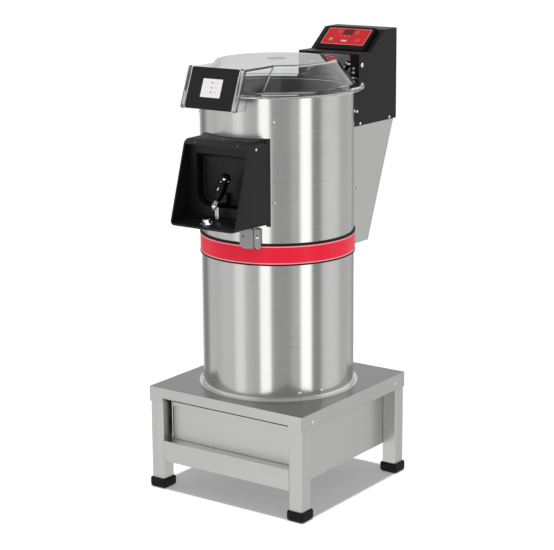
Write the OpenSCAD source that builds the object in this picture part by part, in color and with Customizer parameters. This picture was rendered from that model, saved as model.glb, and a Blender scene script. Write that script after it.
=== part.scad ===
// Electric potato peeler on a stand with a peel drawer.
// Front is -Y, up is +Z, millimetres. Depths are measured from the drum axis,
// and at_axis() then moves the whole machine so that the origin is the centre
// of its footprint on the floor.

/* [Stand] */
// Width and depth of the stand's top
stand_w = 490; // [470:5:520]
// Height of the stand's top above the floor
stand_h = 280; // [270:1:310]
// Width of the square leg tubes
leg_w = 40; // [30:1:45]
// Height of the folded apron round the top
apron_h = 41; // [35:1:50]
// Height of the rubber feet
foot_h = 26; // [20:1:34]
// Height of the front rail
rail_h = 56; // [45:1:60]

/* [Drum] */
// Outer diameter of both drums
drum_d = 400; // [396:1:404]
// Thickness of the stainless sheet
sheet = 1.5; // [1:0.1:2]
// Height of the joint between the two drums
joint_z = 664; // [655:1:672]
// Height of the coloured band over the joint
band_h = 52; // [40:1:56]
// Height of the upper drum's rim
rim_z = 1066; // [1060:1:1068]

/* [Chute] */
// Width of the discharge chute
chute_w = 204; // [196:1:212]
// Reach of the chute's lower lip from the drum axis
chute_reach = 322; // [315:1:330]
// Height of the chute's roof
roof_z = 958; // [955:1:962]
// Width of the door opening
door_w = 152; // [148:1:156]

/* [Lid] */
// Diameter of the clear lid's flange
flange_d = 456; // [446:1:458]
// Diameter of the flat top of the dome
dome_top_d = 304; // [290:1:320]
// Height of the dome above the flange
dome_h = 64; // [60:1:68]
// Wall of the clear lid
lid_t = 4; // [3:0.5:4]
// Width of the clear hood at the front of the lid
hood_w = 170; // [160:1:176]

/* [Controls] */
// Width of the black control housing
housing_w = 194; // [190:1:198]
// Reach of the housing's rear wall from the drum axis
housing_reach = 430; // [420:1:440]
// Height of the housing's top
housing_z = 1187; // [1180:1:1190]
// Slope of the control panel, in degrees
panel_slope = 38; // [34:1:40]
// Diameter of the four keys
key_d = 15; // [12:1:16]

/* [Hidden] */
$fn = 96;
eps = 0.01;

// Colours as seen on the machine
steel = [0.72, 0.72, 0.71];
dark_steel = [0.55, 0.55, 0.54];
black = [0.09, 0.09, 0.09];
rubber = [0.06, 0.06, 0.06];
band_red = [0.90, 0.18, 0.27];
panel_red = [0.77, 0.13, 0.15];
chrome = [0.80, 0.80, 0.82];
clear = [0.80, 0.83, 0.84, 0.35];

// Placing
drum_r = drum_d / 2;
axis_y = (chute_reach - housing_reach) / 2;
module at_axis() translate([0, axis_y, 0]) children();

// A box from its two opposite corners
module block(low, high) translate(low) cube(high - low);

// A round bar along one axis: from and to are the ends along it
module bar_x(r, from, to, y, z) translate([from, y, z]) rotate([0, 90, 0]) cylinder(r = r, h = to - from);
module bar_y(r, from, to, x, z) translate([x, to, z]) rotate([90, 0, 0]) cylinder(r = r, h = to - from);
module bar_z(r, from, to, x, y) translate([x, y, from]) cylinder(r = r, h = to - from);

// A ring about the drum axis
module ring(outer, inner, from, to) difference() {
    bar_z(outer, from, to, 0, 0);
    bar_z(inner, from - 1, to + 1, 0, 0);
}

// A profile in depth and height, [y, z] points, drawn across the width
module across(half) translate([-half, 0, 0]) rotate([90, 0, 90]) linear_extrude(2 * half) children();

// A profile in width and height, [x, z] points, drawn from one depth to another
module deep(from, to) translate([0, to, 0]) rotate([90, 0, 0]) linear_extrude(to - from) children();

// A rectangle with rounded corners, centred
module rounded(w, h, r) {
    square([w - 2 * r, h], center = true);
    square([w, h - 2 * r], center = true);
    for (sx = [-1, 1], sy = [-1, 1]) translate([sx * (w / 2 - r), sy * (h / 2 - r)]) circle(r);
}

// The head of a pan screw, seated on the face x = 0 of its own frame and standing out along +X
module pan_screw(r, head) rotate([0, 90, 0]) {
    cylinder(r = r, h = head * 0.5);
    translate([0, 0, head * 0.5]) cylinder(r1 = r, r2 = r * 0.6, h = head * 0.5);
}

// Children placed on the drum's skin, angle measured from the front towards +X
module on_drum(angle, z) rotate([0, 0, angle - 90]) translate([drum_r, 0, z]) children();

// ---- Stand -----------------------------------------------------------------

top_t = 2;
half_w = stand_w / 2;
leg_out = half_w - top_t;
leg_c = leg_out - leg_w / 2;
leg_in = leg_out - leg_w;
rail_z = 78;
bay_z = rail_z + rail_h;
notch_w = 404;
notch_h = 13;
foot_over = 6;
drain_at = [-130, 60];
drain_r = 25;

module stand_top() color(steel) at_axis() difference() {
    block([-half_w, -half_w, stand_h - apron_h], [half_w, half_w, stand_h]);
    block([-leg_out, -leg_out, stand_h - apron_h - 1], [leg_out, leg_out, stand_h - top_t]);
    block([-notch_w / 2, -half_w - 1, stand_h - apron_h - 1],
        [notch_w / 2, -leg_out + 1, stand_h - apron_h + notch_h]);
    bar_z(drain_r + 2, stand_h - 10, stand_h + 1, drain_at[0], drain_at[1]);
    // the slits where the folded aprons meet at the corners
    for (sx = [-1, 1]) translate([sx * (half_w - 1.2), 0, 0])
        block([-0.5, -half_w - 1, stand_h - apron_h - 1], [0.5, -half_w + 1, stand_h - 1]);
}

module legs() color(steel) at_axis() for (sx = [-1, 1], sy = [-1, 1])
    translate([sx * leg_c, sy * leg_c, 6]) difference() {
        linear_extrude(stand_h - top_t - 6) rounded(leg_w, leg_w, 2);
        translate([0, 0, -1]) linear_extrude(stand_h) square(leg_w - 2 * sheet, center = true);
    }

module feet() color(rubber) at_axis() for (sx = [-1, 1], sy = [-1, 1])
    translate([sx * leg_c, sy * leg_c, 0]) difference() {
        hull() {
            linear_extrude(1) rounded(leg_w + 2 * foot_over - 8, leg_w + 2 * foot_over - 8, 7, $fn = 32);
            translate([0, 0, 5]) linear_extrude(foot_h - 8)
                rounded(leg_w + 2 * foot_over, leg_w + 2 * foot_over, 7, $fn = 32);
            translate([0, 0, foot_h - 1]) linear_extrude(1)
                rounded(leg_w + 2 * foot_over - 3, leg_w + 2 * foot_over - 3, 6, $fn = 32);
        }
        translate([0, 0, 6]) linear_extrude(foot_h) rounded(leg_w, leg_w, 2);
    }

module front_rail() color(steel) at_axis() {
    block([-leg_in, -leg_out, rail_z], [leg_in, -leg_out + top_t, bay_z]);
    block([-leg_in, -leg_out + top_t, bay_z - sheet], [leg_in, -leg_in, bay_z]);
    block([-leg_in, -leg_out + top_t, rail_z], [leg_in, -leg_out + 16, rail_z + sheet]);
}

// One side of the drawer's box, with the guide that the drawer runs beside
module box_side(s) color(steel) at_axis() mirror([s < 0 ? 1 : 0, 0, 0]) {
    block([leg_in - sheet, -leg_in, rail_z + 2], [leg_in, leg_out - 2, stand_h - top_t]);
    block([leg_in - 9, -leg_in + 2, bay_z], [leg_in - sheet, leg_in - 4, bay_z + 10]);
}

module box_side_left() box_side(-1);

module box_side_right() box_side(1);

spigot_at = [0, 120];
spigot_r = 25;
spigot_z = 92;

// The box's floor and back, one folded sheet, with the waste spigot under it
module box_floor() color(steel) at_axis() difference() {
    union() {
        block([-leg_in + sheet, -leg_in, bay_z - sheet], [leg_in - sheet, leg_in - sheet, bay_z]);
        block([-leg_in + sheet, leg_in - sheet, rail_z + 2], [leg_in - sheet, leg_in, stand_h - top_t]);
        bar_z(spigot_r, spigot_z, bay_z - sheet, spigot_at[0], spigot_at[1]);
    }
    bar_z(spigot_r - 2, spigot_z - 1, bay_z + 1, spigot_at[0], spigot_at[1]);
}

screw_z = stand_h - 23;
module stand_screws() color(chrome) at_axis() {
    for (sx = [-1, 1], y = [-197, 197]) translate([sx * half_w, y, screw_z])
        rotate([0, 0, sx > 0 ? 0 : 180]) pan_screw(3.5, 2);
    for (sx = [-1, 1], z = [146, 184]) translate([sx * (leg_in - sheet), -leg_in + 2.5, z + 4])
        rotate([0, 0, sx > 0 ? 180 : 0]) pan_screw(2.5, 1.8);
}

// ---- Drawer ----------------------------------------------------------------

drawer_half = 191.5;
drawer_front_y = -213;
drawer_back_y = 190;
drawer_top = 240;
basket_top = 222;
basket_half = 190;

// Front panel with its folded finger lip along the top
module drawer_front() color(steel) at_axis() across(drawer_half) polygon([
    [drawer_front_y, bay_z + 2], [drawer_front_y + sheet, bay_z + 2],
    [drawer_front_y + sheet, drawer_top], [drawer_front_y - 8, drawer_top],
    [drawer_front_y - 8, drawer_top - 11], [drawer_front_y - 8 + sheet, drawer_top - 11],
    [drawer_front_y - 8 + sheet, drawer_top - sheet], [drawer_front_y, drawer_top - sheet]]);

// Peel basket: its floor is slotted so that the water runs through
module drawer_basket() color(steel) at_axis() difference() {
    block([-basket_half, drawer_front_y + sheet, bay_z + 0.4], [basket_half, drawer_back_y, basket_top]);
    block([-basket_half + sheet, drawer_front_y + 2 * sheet, bay_z + 2],
        [basket_half - sheet, drawer_back_y - sheet, basket_top + 1]);
    for (side = [-1, 1], row = [-6 : 6]) translate([side * 90, row * 27, 0])
        block([-70, -3, bay_z - 1], [70, 3, bay_z + 4]);
}

// ---- Drums -----------------------------------------------------------------

drum_in = drum_r - sheet;
band_t = 3;
band_lo = joint_z - band_h / 2;
band_hi = joint_z + band_h / 2;
floor_z = 742;
plate_z = 776;
cable_hole_z = 715;
nozzle_z = rim_z - 30;
step_half = 64;
step_lo = 799;
step_hi = 908;
step_r = 22;

// The passage through the drum wall: square at the top, round lower corners
module passage(half, low, high, r) {
    translate([-half, low + r]) square([2 * half, high - low - r]);
    translate([-half + r, low]) square([2 * half - 2 * r, r + eps]);
    for (s = [-1, 1]) translate([s * (half - r), low + r]) circle(r);
}

module lower_drum() color(steel) at_axis() {
    ring(drum_r, drum_in, stand_h, joint_z);
    // flat collar on the stand's top, and the bead that closes its joint with the drum
    rotate_extrude() polygon([[drum_r - eps, stand_h], [drum_r + 12, stand_h], [drum_r + 12, stand_h + 2],
        [drum_r + 11.4, stand_h + 2.6], [drum_r + 4, stand_h + 2.6], [drum_r + 4, stand_h + 5.6],
        [drum_r + 3, stand_h + 7.4], [drum_r + 1.4, stand_h + 8], [drum_r - eps, stand_h + 8]]);
    ring(drum_in + eps, drum_in - 20, stand_h, stand_h + 2);
}

module upper_drum() color(steel) at_axis() difference() {
    union() {
        ring(drum_r, drum_in, joint_z, rim_z);
        // rolled rim
        rotate_extrude() translate([drum_r + 0.5, rim_z - 3]) circle(3);
    }
    deep(-drum_r - 10, -drum_r / 2) passage(step_half, step_lo, step_hi, step_r);
    bar_y(12, drum_r / 2, drum_r + 10, 0, cable_hole_z);
    bar_y(8.5, drum_r / 2, drum_r + 10, 40, nozzle_z);
}

// Pairs of screws that hold the motor frame, the bolts of the lining and the clamp's own
clamp_lo = 680;
clamp_hi = 731;
clamp_angles = [13, 21.3];
clamp_slab = 9;
motor_screw_angles = [51, 69, 171, 189, -51, -69];
liner_bolt_angles = [33, 123, 213, 303];
module drum_screws() color(chrome) at_axis() {
    for (a = motor_screw_angles) on_drum(a, stand_h + 18) pan_screw(5, 3.5);
    for (a = liner_bolt_angles, z = [799, 1001]) on_drum(a, z) pan_screw(4, 3);
    on_drum(clamp_angles[1], clamp_hi - 20) translate([clamp_slab, 0, 0]) pan_screw(5, 4);
}

module joint_band() color(band_red) at_axis() ring(drum_r + band_t, drum_r, band_lo, band_hi);

module rim_seal() color(rubber) at_axis() ring(drum_r + 3, drum_in - 2, rim_z, rim_z + 3.4);

// Two clamp plates that bridge the band and the upper drum
module drum_clamp() color(dark_steel) at_axis() {
    on_drum(clamp_angles[0], 0) difference() {
        deep_plate(38, clamp_lo, clamp_hi, 6, 8);
        translate([1, -9, clamp_hi - 20]) rotate([0, 90, 0]) cylinder(r = 2.5, h = 20);
    }
    on_drum(clamp_angles[1], 0) deep_plate(17, clamp_lo + 1, clamp_hi + 1, clamp_slab, 6);
}

// An upright plate with cut corners on the drum's skin, its face t off the skin
module deep_plate(w, low, high, t, cut) difference() {
    translate([-5, 0, 0]) rotate([90, 0, 90]) linear_extrude(t + 5) polygon([
        [-w / 2 + cut, low], [w / 2, low], [w / 2, high - cut / 2], [w / 2 - cut / 2, high],
        [-w / 2, high], [-w / 2, low + cut * 1.5]]);
    translate([-drum_r, 0, 0]) bar_z(drum_r, low - 1, high + 1, 0, 0, $fn = 400);
    block([-6, -w, low - 1], [band_t, w, band_hi]);
}

// ---- Drive -----------------------------------------------------------------

shaft_r = 15;
fit = 0.05;
bearing_r = 31;
bearing_w = 16;
bearing_lo = 646;
bearing_hi = 738;
housing_lo = 640;
neck_z = 760;
pulley_lo = 598;
pulley_hi = 622;
big_r = 85;
small_r = 28;
groove = 9;
motor_at = [0, 125];
motor_r = 60;
motor_plate_lo = 586;
motor_plate_hi = 592;
motor_lo = 400;

module chamber_floor() color(steel) at_axis() difference() {
    bar_z(drum_in, floor_z, floor_z + 3, 0, 0);
    bar_z(42, floor_z - 1, floor_z + 4, 0, 0);
    bar_z(drain_r - 2, floor_z - 1, floor_z + 4, drain_at[0], drain_at[1]);
}

module bearing_housing() color("dimgray") at_axis() difference() {
    union() {
        bar_z(42, housing_lo, neck_z, 0, 0);
        bar_z(75, floor_z - 8, floor_z, 0, 0);
        for (a = [0 : 60 : 300]) rotate([0, 0, a + 30]) block([30, -3, floor_z - 50], [66, 3, floor_z - 6]);
    }
    bar_z(shaft_r + 6, housing_lo - 1, neck_z + 1, 0, 0);
    bar_z(bearing_r, housing_lo - 1, bearing_lo + bearing_w, 0, 0);
    bar_z(bearing_r, bearing_hi, neck_z + 1, 0, 0);
}

module bearings() color(chrome) at_axis() for (z = [bearing_lo, bearing_hi])
    ring(bearing_r, shaft_r, z, z + bearing_w);

module shaft_seal() color(rubber) at_axis() ring(bearing_r, shaft_r, bearing_hi + bearing_w, neck_z);

module main_shaft() color(chrome) at_axis() {
    bar_z(shaft_r - fit, pulley_lo - 3, plate_z + 8, 0, 0);
    bar_z(10, plate_z + 8 - eps, plate_z + 22, 0, 0);
}

// A pulley with one vee groove about its own axis
module pulley(r, bore) difference() {
    rotate_extrude() polygon([[bore, pulley_lo], [r, pulley_lo], [r, pulley_lo + 4],
        [r - groove, pulley_lo + 6], [r - groove, pulley_hi - 6], [r, pulley_hi - 4],
        [r, pulley_hi], [bore, pulley_hi]]);
    if (r > 50) for (a = [0 : 60 : 300]) rotate([0, 0, a])
        bar_z(14, pulley_lo - 1, pulley_hi + 1, r * 0.6, 0);
}

module driven_pulley() color(dark_steel) at_axis() pulley(big_r, shaft_r - fit);

module motor_pulley() color(dark_steel) at_axis() translate([motor_at[0], motor_at[1], 0])
    pulley(small_r, 9);

module motor_shaft() color(chrome) at_axis()
    bar_z(9, motor_plate_lo - 20, pulley_hi + 3, motor_at[0], motor_at[1]);

// The belt's loop: straight runs between the two pulleys' grooves
module belt_loop(extra) hull() {
    circle(big_r - groove + extra);
    translate(motor_at) circle(small_r - groove + extra);
}

module drive_belt() color(rubber) at_axis() translate([0, 0, pulley_lo + 6.5])
    linear_extrude(pulley_hi - pulley_lo - 13) difference() {
        belt_loop(6.5);
        belt_loop(0.4);
    }

module motor_plate() color(dark_steel) at_axis() difference() {
    bar_z(drum_in, motor_plate_lo, motor_plate_hi, 0, 0);
    bar_z(30, motor_plate_lo - 1, motor_plate_hi + 1, motor_at[0], motor_at[1]);
    bar_z(drain_r + 2, motor_plate_lo - 1, motor_plate_hi + 1, drain_at[0], drain_at[1]);
    bar_z(45, motor_plate_lo - 1, motor_plate_hi + 1, 80, -80);
}

module motor_body() color("slategray") at_axis() translate([motor_at[0], motor_at[1], 0]) difference() {
    union() {
        bar_z(motor_r - 6, motor_lo, motor_plate_lo, 0, 0);
        bar_z(motor_r + 10, motor_plate_lo - 8, motor_plate_lo, 0, 0);
        bar_z(30, motor_plate_lo - 1, motor_plate_hi, 0, 0);
        bar_z(motor_r + 2, motor_lo - 22, motor_lo + 6, 0, 0);
        for (a = [0 : 15 : 345]) rotate([0, 0, a])
            block([motor_r - 8, -1.5, motor_lo], [motor_r, 1.5, motor_plate_lo]);
        block([-35, -motor_r - 14, motor_lo + 60], [35, -motor_r + 12, motor_lo + 140]);
    }
    bar_z(9 + fit, motor_plate_lo - 21, motor_plate_hi + 1, 0, 0);
}

// Rotating disc: a dished plate with low lobes that lift and turn the potatoes
plate_r = 188;
lobe_count = 3;
module abrasive_plate() color("dimgray") at_axis() difference() {
    union() {
        rotate_extrude() polygon([[0, plate_z - 13], [36, plate_z - 13], [40, plate_z - 2],
            [plate_r - 7, plate_z - 2], [plate_r - 7, plate_z - 10], [plate_r - 2, plate_z - 10],
            [plate_r - 2, plate_z], [plate_r, plate_z + 2], [plate_r, plate_z + 10],
            [plate_r - 12, plate_z + 4], [60, plate_z + 4], [34, plate_z + 8], [0, plate_z + 8]]);
        for (i = [0 : lobe_count - 1]) rotate([0, 0, i * 360 / lobe_count]) lobe();
    }
    bar_z(shaft_r - fit, plate_z - 20, plate_z + 9, 0, 0);
}

// One lobe: a long mound that swells towards the rim, open to the disc below
module lobe() intersection() {
    hull() {
        translate([52, 0, plate_z + 4]) scale([1, 1, 0.5]) sphere(r = 12, $fn = 32);
        translate([150, 0, plate_z + 4]) scale([1, 1, 0.5]) sphere(r = 28, $fn = 32);
    }
    bar_z(plate_r, plate_z, plate_z + 30, 0, 0);
}

module plate_nut() color(chrome) at_axis() difference() {
    union() {
        bar_z(19, plate_z + 8, plate_z + 11, 0, 0);
        translate([0, 0, plate_z + 11]) cylinder(r = 17, h = 9, $fn = 6);
        translate([0, 0, plate_z + 20]) cylinder(r1 = 14, r2 = 8, h = 8);
    }
    bar_z(10, plate_z + 7, plate_z + 22, 0, 0);
}

// Abrasive lining of the upper drum, cut out at the door
liner_t = 5;
module abrasive_liner() color("dimgray") at_axis() difference() {
    ring(drum_in, drum_in - liner_t, plate_z + 14, nozzle_z - 10);
    deep(-drum_r - 10, -drum_r / 2) passage(step_half, step_lo, step_hi, step_r);
}

module drain_pipe() color(steel) at_axis() difference() {
    union() {
        bar_z(drain_r, stand_h - 18, floor_z, drain_at[0], drain_at[1]);
        bar_z(drain_r + 8, floor_z - 4, floor_z, drain_at[0], drain_at[1]);
    }
    bar_z(drain_r - 2, stand_h - 19, floor_z + 1, drain_at[0], drain_at[1]);
}

// ---- Rear duct and its connections ------------------------------------------

duct_half = housing_w / 2 - 3;
duct_lo = 620;
duct_reach = 294;
duct_top = 955;
shell_lo = 940;
duct_top_y = housing_reach - 3;
stub_at = [45, 274];
gland_at = [-45, 274];
stub_r = 13.2;

module rear_duct() color(steel) at_axis() difference() {
    across(duct_half) polygon([[100, duct_lo], [duct_reach, duct_lo], [duct_top_y, duct_top],
        [100, duct_top]]);
    across(duct_half - sheet) polygon([[90, duct_lo + sheet], [duct_reach - 1, duct_lo + sheet],
        [duct_top_y - sheet - 0.1, duct_top + 1], [90, duct_top + 1]]);
    bar_z(drum_r, duct_lo - 1, duct_top + 2, 0, 0);
    bar_z(drum_r + band_t + 0.5, duct_lo - 1, band_hi + 0.5, 0, 0);
    for (at = [stub_at, gland_at]) bar_z(9, duct_lo - 1, duct_lo + 3, at[0], at[1]);
    bar_x(3, 0, duct_half + 1, 232, 774);
}

// Threaded stub under the duct, the pipe up inside it and the spray nozzle
pipe_y = 240;
module water_inlet() color("goldenrod") at_axis() difference() {
    union() {
        bar_z(stub_r, duct_lo - 20, duct_lo - 3, stub_at[0], stub_at[1]);
        translate([stub_at[0], stub_at[1], duct_lo - 4]) cylinder(r = 17, h = 4, $fn = 6);
        bar_z(9, duct_lo - 1, duct_lo + 24, stub_at[0], stub_at[1]);
        block([stub_at[0] - 9, pipe_y - 8, duct_lo + 16], [stub_at[0] + 9, stub_at[1] + 9, duct_lo + 32]);
        bar_z(8, duct_lo + 30, nozzle_z + 8, 40, pipe_y);
        bar_y(8, 185, pipe_y, 40, nozzle_z);
    }
    bar_z(8, duct_lo - 21, duct_lo + 10, stub_at[0], stub_at[1]);
    bar_y(5, 184, 200, 40, nozzle_z);
}

module cable_gland() color(black) at_axis() difference() {
    translate([gland_at[0], gland_at[1], 0]) {
        translate([0, 0, duct_lo - 9]) cylinder(r = 14, h = 9, $fn = 6);
        translate([0, 0, duct_lo - 20]) cylinder(r1 = 8, r2 = 12, h = 11);
        bar_z(9, duct_lo - 1, duct_lo + 8, 0, 0);
    }
    bar_z(4.5, duct_lo - 21, duct_lo + 9, gland_at[0], gland_at[1]);
}

// ---- Discharge chute and door ------------------------------------------------

chute_half = chute_w / 2;
chute_t = 4;
roof_reach = 256;
roof_lip = 15;
hood_round = 8;
lip_z = 745;
floor_rear = 763;
floor_front = lip_z + chute_t;
frame_front = -243;
frame_t = 4;
open_lo = 787;
open_hi = 920;
open_r = 35;
sleeve_t = 3;
door_pin = [-217, 912];
door_pin_r = 3;
door_half = door_w / 2 - 4;
door_lo = 791;
door_front = -222;
door_back = -210;
lever_x = -1.7;
lever_z = 793;
lever_front = -270;
lever_back = -265.5;

// The hood's front edges lean forward from the roof to the lip
hood_lean = atan((chute_reach - roof_reach) / (roof_z - lip_z));
function hood_front(z) = -roof_reach - (roof_z - z) * tan(hood_lean);

module chute_outside() intersection() {
    across(chute_half) polygon([[-120, roof_z + 2], [-roof_reach, roof_z], [-chute_reach, lip_z],
        [-120, 738]]);
    deep(-chute_reach - 5, -100) translate([0, (roof_z + lip_z) / 2 - 4])
        rounded(chute_w, roof_z - lip_z + 12, hood_round);
}

// The square rim with which the hood lies on the drum
module chute_rim() intersection() {
    ring(drum_r + 5, drum_r, lip_z - 7, roof_z + 2);
    block([-chute_half, -drum_r - 6, lip_z - 8], [chute_half, -drum_r / 2, roof_z + 3]);
}

// The floor falls forward from the frame to the lip
floor_fall = (floor_rear - floor_front) / (chute_reach + frame_front);
floor_tilt = atan(floor_fall);
function floor_z_at(y) = floor_front + floor_fall * (chute_reach + y);

// All the room inside the hood: its front is open from the floor up to the roof's turned-down lip
module chute_inside() intersection() {
    across(chute_half - chute_t) polygon([[-90, roof_z - chute_t], [-roof_reach + 6, roof_z - chute_t],
        [-roof_reach, roof_z - roof_lip], [-chute_reach - 20, roof_z - roof_lip],
        [-chute_reach - 20, floor_z_at(-chute_reach - 20)], [frame_front, floor_rear], [-90, floor_rear]]);
    deep(-chute_reach - 22, -80) translate([0, (roof_z - chute_t + lip_z) / 2])
        rounded(chute_w - 2 * chute_t, roof_z - chute_t - lip_z, hood_round);
}

// The hollow under the floor, open at the bottom
module chute_under() across(chute_half - chute_t) polygon([[-90, lip_z - 20], [-90, floor_rear - chute_t],
    [frame_front, floor_rear - chute_t], [-chute_reach + 24, floor_z_at(-chute_reach + 24) - chute_t],
    [-chute_reach + 24, lip_z - 20]]);

module chute_hood() color(black) at_axis() difference() {
    union() {
        chute_outside();
        chute_rim();
    }
    chute_inside();
    chute_under();
    bar_z(drum_r, lip_z - 30, roof_z + 20, 0, 0);
    keeper_frame() bar_z(4, -20, 10, 0, 0);
}

// The frame's plate fills the hood's inner outline, and its sleeve runs back to the drum
module door_frame() color(black) at_axis() difference() {
    union() {
        intersection() {
            chute_inside();
            block([-chute_half, frame_front, floor_rear], [chute_half, frame_front + frame_t, roof_z]);
        }
        deep(frame_front + 1, -120)
            passage(door_w / 2 + sleeve_t, open_lo - sleeve_t, open_hi + sleeve_t, open_r + sleeve_t);
    }
    deep(frame_front - 1, -206) passage(door_w / 2, open_lo, open_hi, open_r);
    deep(frame_front - 1, -100) passage(step_half, step_lo, step_hi, step_r);
    bar_z(drum_r, open_lo - 30, open_hi + 30, 0, 0);
    bar_x(door_pin_r, -door_w, door_w, door_pin[0], door_pin[1]);
}

side_screw = [-232, 941];
lip_screw = [66, 950];
module chute_screws() color(chrome) at_axis() for (s = [-1, 1]) {
    translate([s * chute_half, side_screw[0], side_screw[1]]) rotate([0, 0, s > 0 ? 0 : 180])
        pan_screw(3.5, 2);
    translate([s * lip_screw[0], hood_front(lip_screw[1]), lip_screw[1]]) rotate([-hood_lean, 0, 0])
        rotate([0, 0, -90]) pan_screw(2.2, 1.6);
}

// Keeper: a hexagon bolt through the sloping floor, its washer plate and its nut below
keeper_at = [-11.5, -288];
keeper_r = 13.5;
module keeper_frame() translate([keeper_at[0], keeper_at[1], floor_z_at(keeper_at[1])])
    rotate([floor_tilt, 0, 0]) children();

module door_keeper() color(chrome) at_axis() keeper_frame() {
    block([-13, -12, 0], [20, 12, 1.5]);
    translate([0, 0, 1.5]) rotate([0, 0, 30]) cylinder(r = keeper_r, h = 9, $fn = 6);
    translate([0, 0, 10.4]) cylinder(r1 = 11, r2 = 9.8, h = 1);
    bar_z(4, -17, 1, 0, 0);
    translate([0, 0, -chute_t - 6]) cylinder(r = 7, h = 6, $fn = 6);
    translate([15, -7, 1.5]) rotate([0, -90, 0]) pan_screw(3, 1.6);
}

module door_hinge_pin() color(chrome) at_axis()
    bar_x(door_pin_r, -door_w / 2 - sleeve_t, door_w / 2 + sleeve_t, door_pin[0], door_pin[1]);

// The pad that carries the lever's post
module boss_outline() translate([lever_x, door_lo + 15]) rounded(22, 30, 6);

// Door: a dished panel with a round hinge edge and the post that carries the lever
module door_panel() color(black) at_axis() difference() {
    union() {
        deep(door_front, door_back) passage(door_half, door_lo, door_pin[1], open_r - 4);
        bar_x(5.5, -door_half, door_half, door_pin[0], door_pin[1]);
        bar_y(5.5, lever_back + 0.3, door_front + 4, lever_x, lever_z);
        deep(door_front - 10, door_front + 4) boss_outline();
    }
    deep(door_front - 1, door_front + 3) difference() {
        passage(door_half - 9, door_lo + 9, door_pin[1] - 12, open_r - 13);
        boss_outline();
    }
    bar_x(door_pin_r + fit, -door_w, door_w, door_pin[0], door_pin[1]);
    bar_y(4, lever_back - 1, door_front - 4, lever_x, lever_z);
}

module door_gasket() color(rubber) at_axis() difference() {
    deep(door_back, door_back + 3.5) passage(door_half, door_lo, door_pin[1] - 8, open_r - 4);
    deep(door_back - 1, door_back + 5) passage(door_half - 11, door_lo + 11, door_pin[1] - 19, open_r - 15);
}

module lever_bolt() color(chrome) at_axis() {
    bar_y(4, lever_front - 0.3, door_front - 4, lever_x, lever_z);
    translate([lever_x, lever_front - 0.3, lever_z]) rotate([90, 0, 0]) intersection() {
        translate([0, 0, -3]) sphere(r = 9);
        cylinder(r = 9, h = 8);
    }
}

// Lever: hub, foot that turns in behind the keeper, and the neck of the grip
lean = 24.3;
lever_t = (lever_back - lever_front) / 2;
foot_r = 32;
foot_x = [1.2, 12.6];
grip_from = 18;
neck_from = 11;
neck_to = 45;
module lever_frame() translate([lever_x, lever_front + lever_t, lever_z]) rotate([0, lean, 0]) children();

module lever_arm() color(chrome) at_axis() difference() {
    union() {
        bar_y(9, lever_front, lever_back, lever_x, lever_z);
        intersection() {
            block([foot_x[0], lever_front, lever_z - 40], [foot_x[1], lever_back, lever_z]);
            bar_y(foot_r, lever_front, lever_back, lever_x, lever_z);
        }
        lever_frame() {
            block([-5, -lever_t, 0], [5, lever_t, grip_from]);
            translate([0, 0, neck_from]) cylinder(r = 4, h = neck_to - neck_from);
        }
    }
    bar_y(4 + fit, lever_front - 1, lever_back + 1, lever_x, lever_z);
}

// Grip: a full drop with a slight waist below its ball end
ball_r = 15.6;
ball_at = 80;
module lever_grip() color(black) at_axis() lever_frame() rotate_extrude() polygon(concat(
    [[4, neck_to], [4, grip_from], [6, grip_from], [8.5, grip_from + 3], [10.8, grip_from + 8],
        [12.2, grip_from + 15], [13.4, grip_from + 24], [13.9, grip_from + 33], [13.6, grip_from + 42]],
    [for (a = [-36 : 7 : 83]) [ball_r * cos(a), ball_at + ball_r * sin(a)]],
    [[0, ball_at + ball_r], [0, neck_to]]));

// ---- Lid ---------------------------------------------------------------------

flange_z = rim_z + 4;
flange_t = 5;
flange_r = flange_d / 2;
dome_base_r = 198;
dome_z = flange_z + flange_t + dome_h - 2;
hinge_y = 254;
hinge_z = 1101;
hinge_r = 5;
hood_front_top = 247;
hood_front_low = 286;
hood_lo = 1038;
hood_back_low = 252;
hood_t = 3.5;
plate_t = 10;
hood_slope = atan((hood_front_low - hood_front_top) / (dome_z - hood_lo));

// Dome of revolution with a rounded shoulder; extra is added to its surface outwards
shoulder_r = 12;
module dome(extra, low) rotate_extrude() polygon(concat(
    [[0, low], [dome_base_r + extra, low], [dome_base_r + extra, flange_z + flange_t + 1]],
    [for (a = [33 : 9.5 : 90]) [dome_top_d / 2 - 3 + (shoulder_r + extra) * cos(a),
        dome_z - shoulder_r + (shoulder_r + extra) * sin(a)]],
    [[0, dome_z + extra]]));

// Hood outline in depth and height; extra is added all round
module hood_side(extra) polygon([[-60, dome_z + extra], [-hood_front_top - extra, dome_z + extra],
    [-hood_front_low - extra, hood_lo], [-hood_back_low, hood_lo],
    [-hood_back_low + 12, flange_z], [-60, flange_z]]);

module lid_shell() color(clear) at_axis() difference() {
    union() {
        ring(flange_r, dome_base_r - lid_t, flange_z, flange_z + flange_t);
        dome(0, flange_z);
        intersection() {
            across(hood_w / 2) hood_side(0);
            deep(-320, 0) translate([0, dome_z - 60]) rounded(hood_w, 120, 5);
        }
        across(hood_w / 2) difference() {
            hood_side(0);
            translate([-400, dome_z - 8]) square([400, 20]);
        }
    }
    dome(-lid_t, flange_z - 1);
    intersection() {
        across(hood_w / 2 - hood_t) polygon([[-60, dome_z - lid_t],
            [-hood_front_top + hood_t, dome_z - lid_t], [-hood_front_low + hood_t, hood_lo],
            [-hood_front_low + hood_t, hood_lo - 1], [-60, hood_lo - 1]]);
        block([-hood_w, -400, hood_lo - 2], [hood_w, 0, dome_z]);
    }
    bar_z(24, dome_z - 0.8, dome_z + 5, 0, 0);
}

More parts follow.
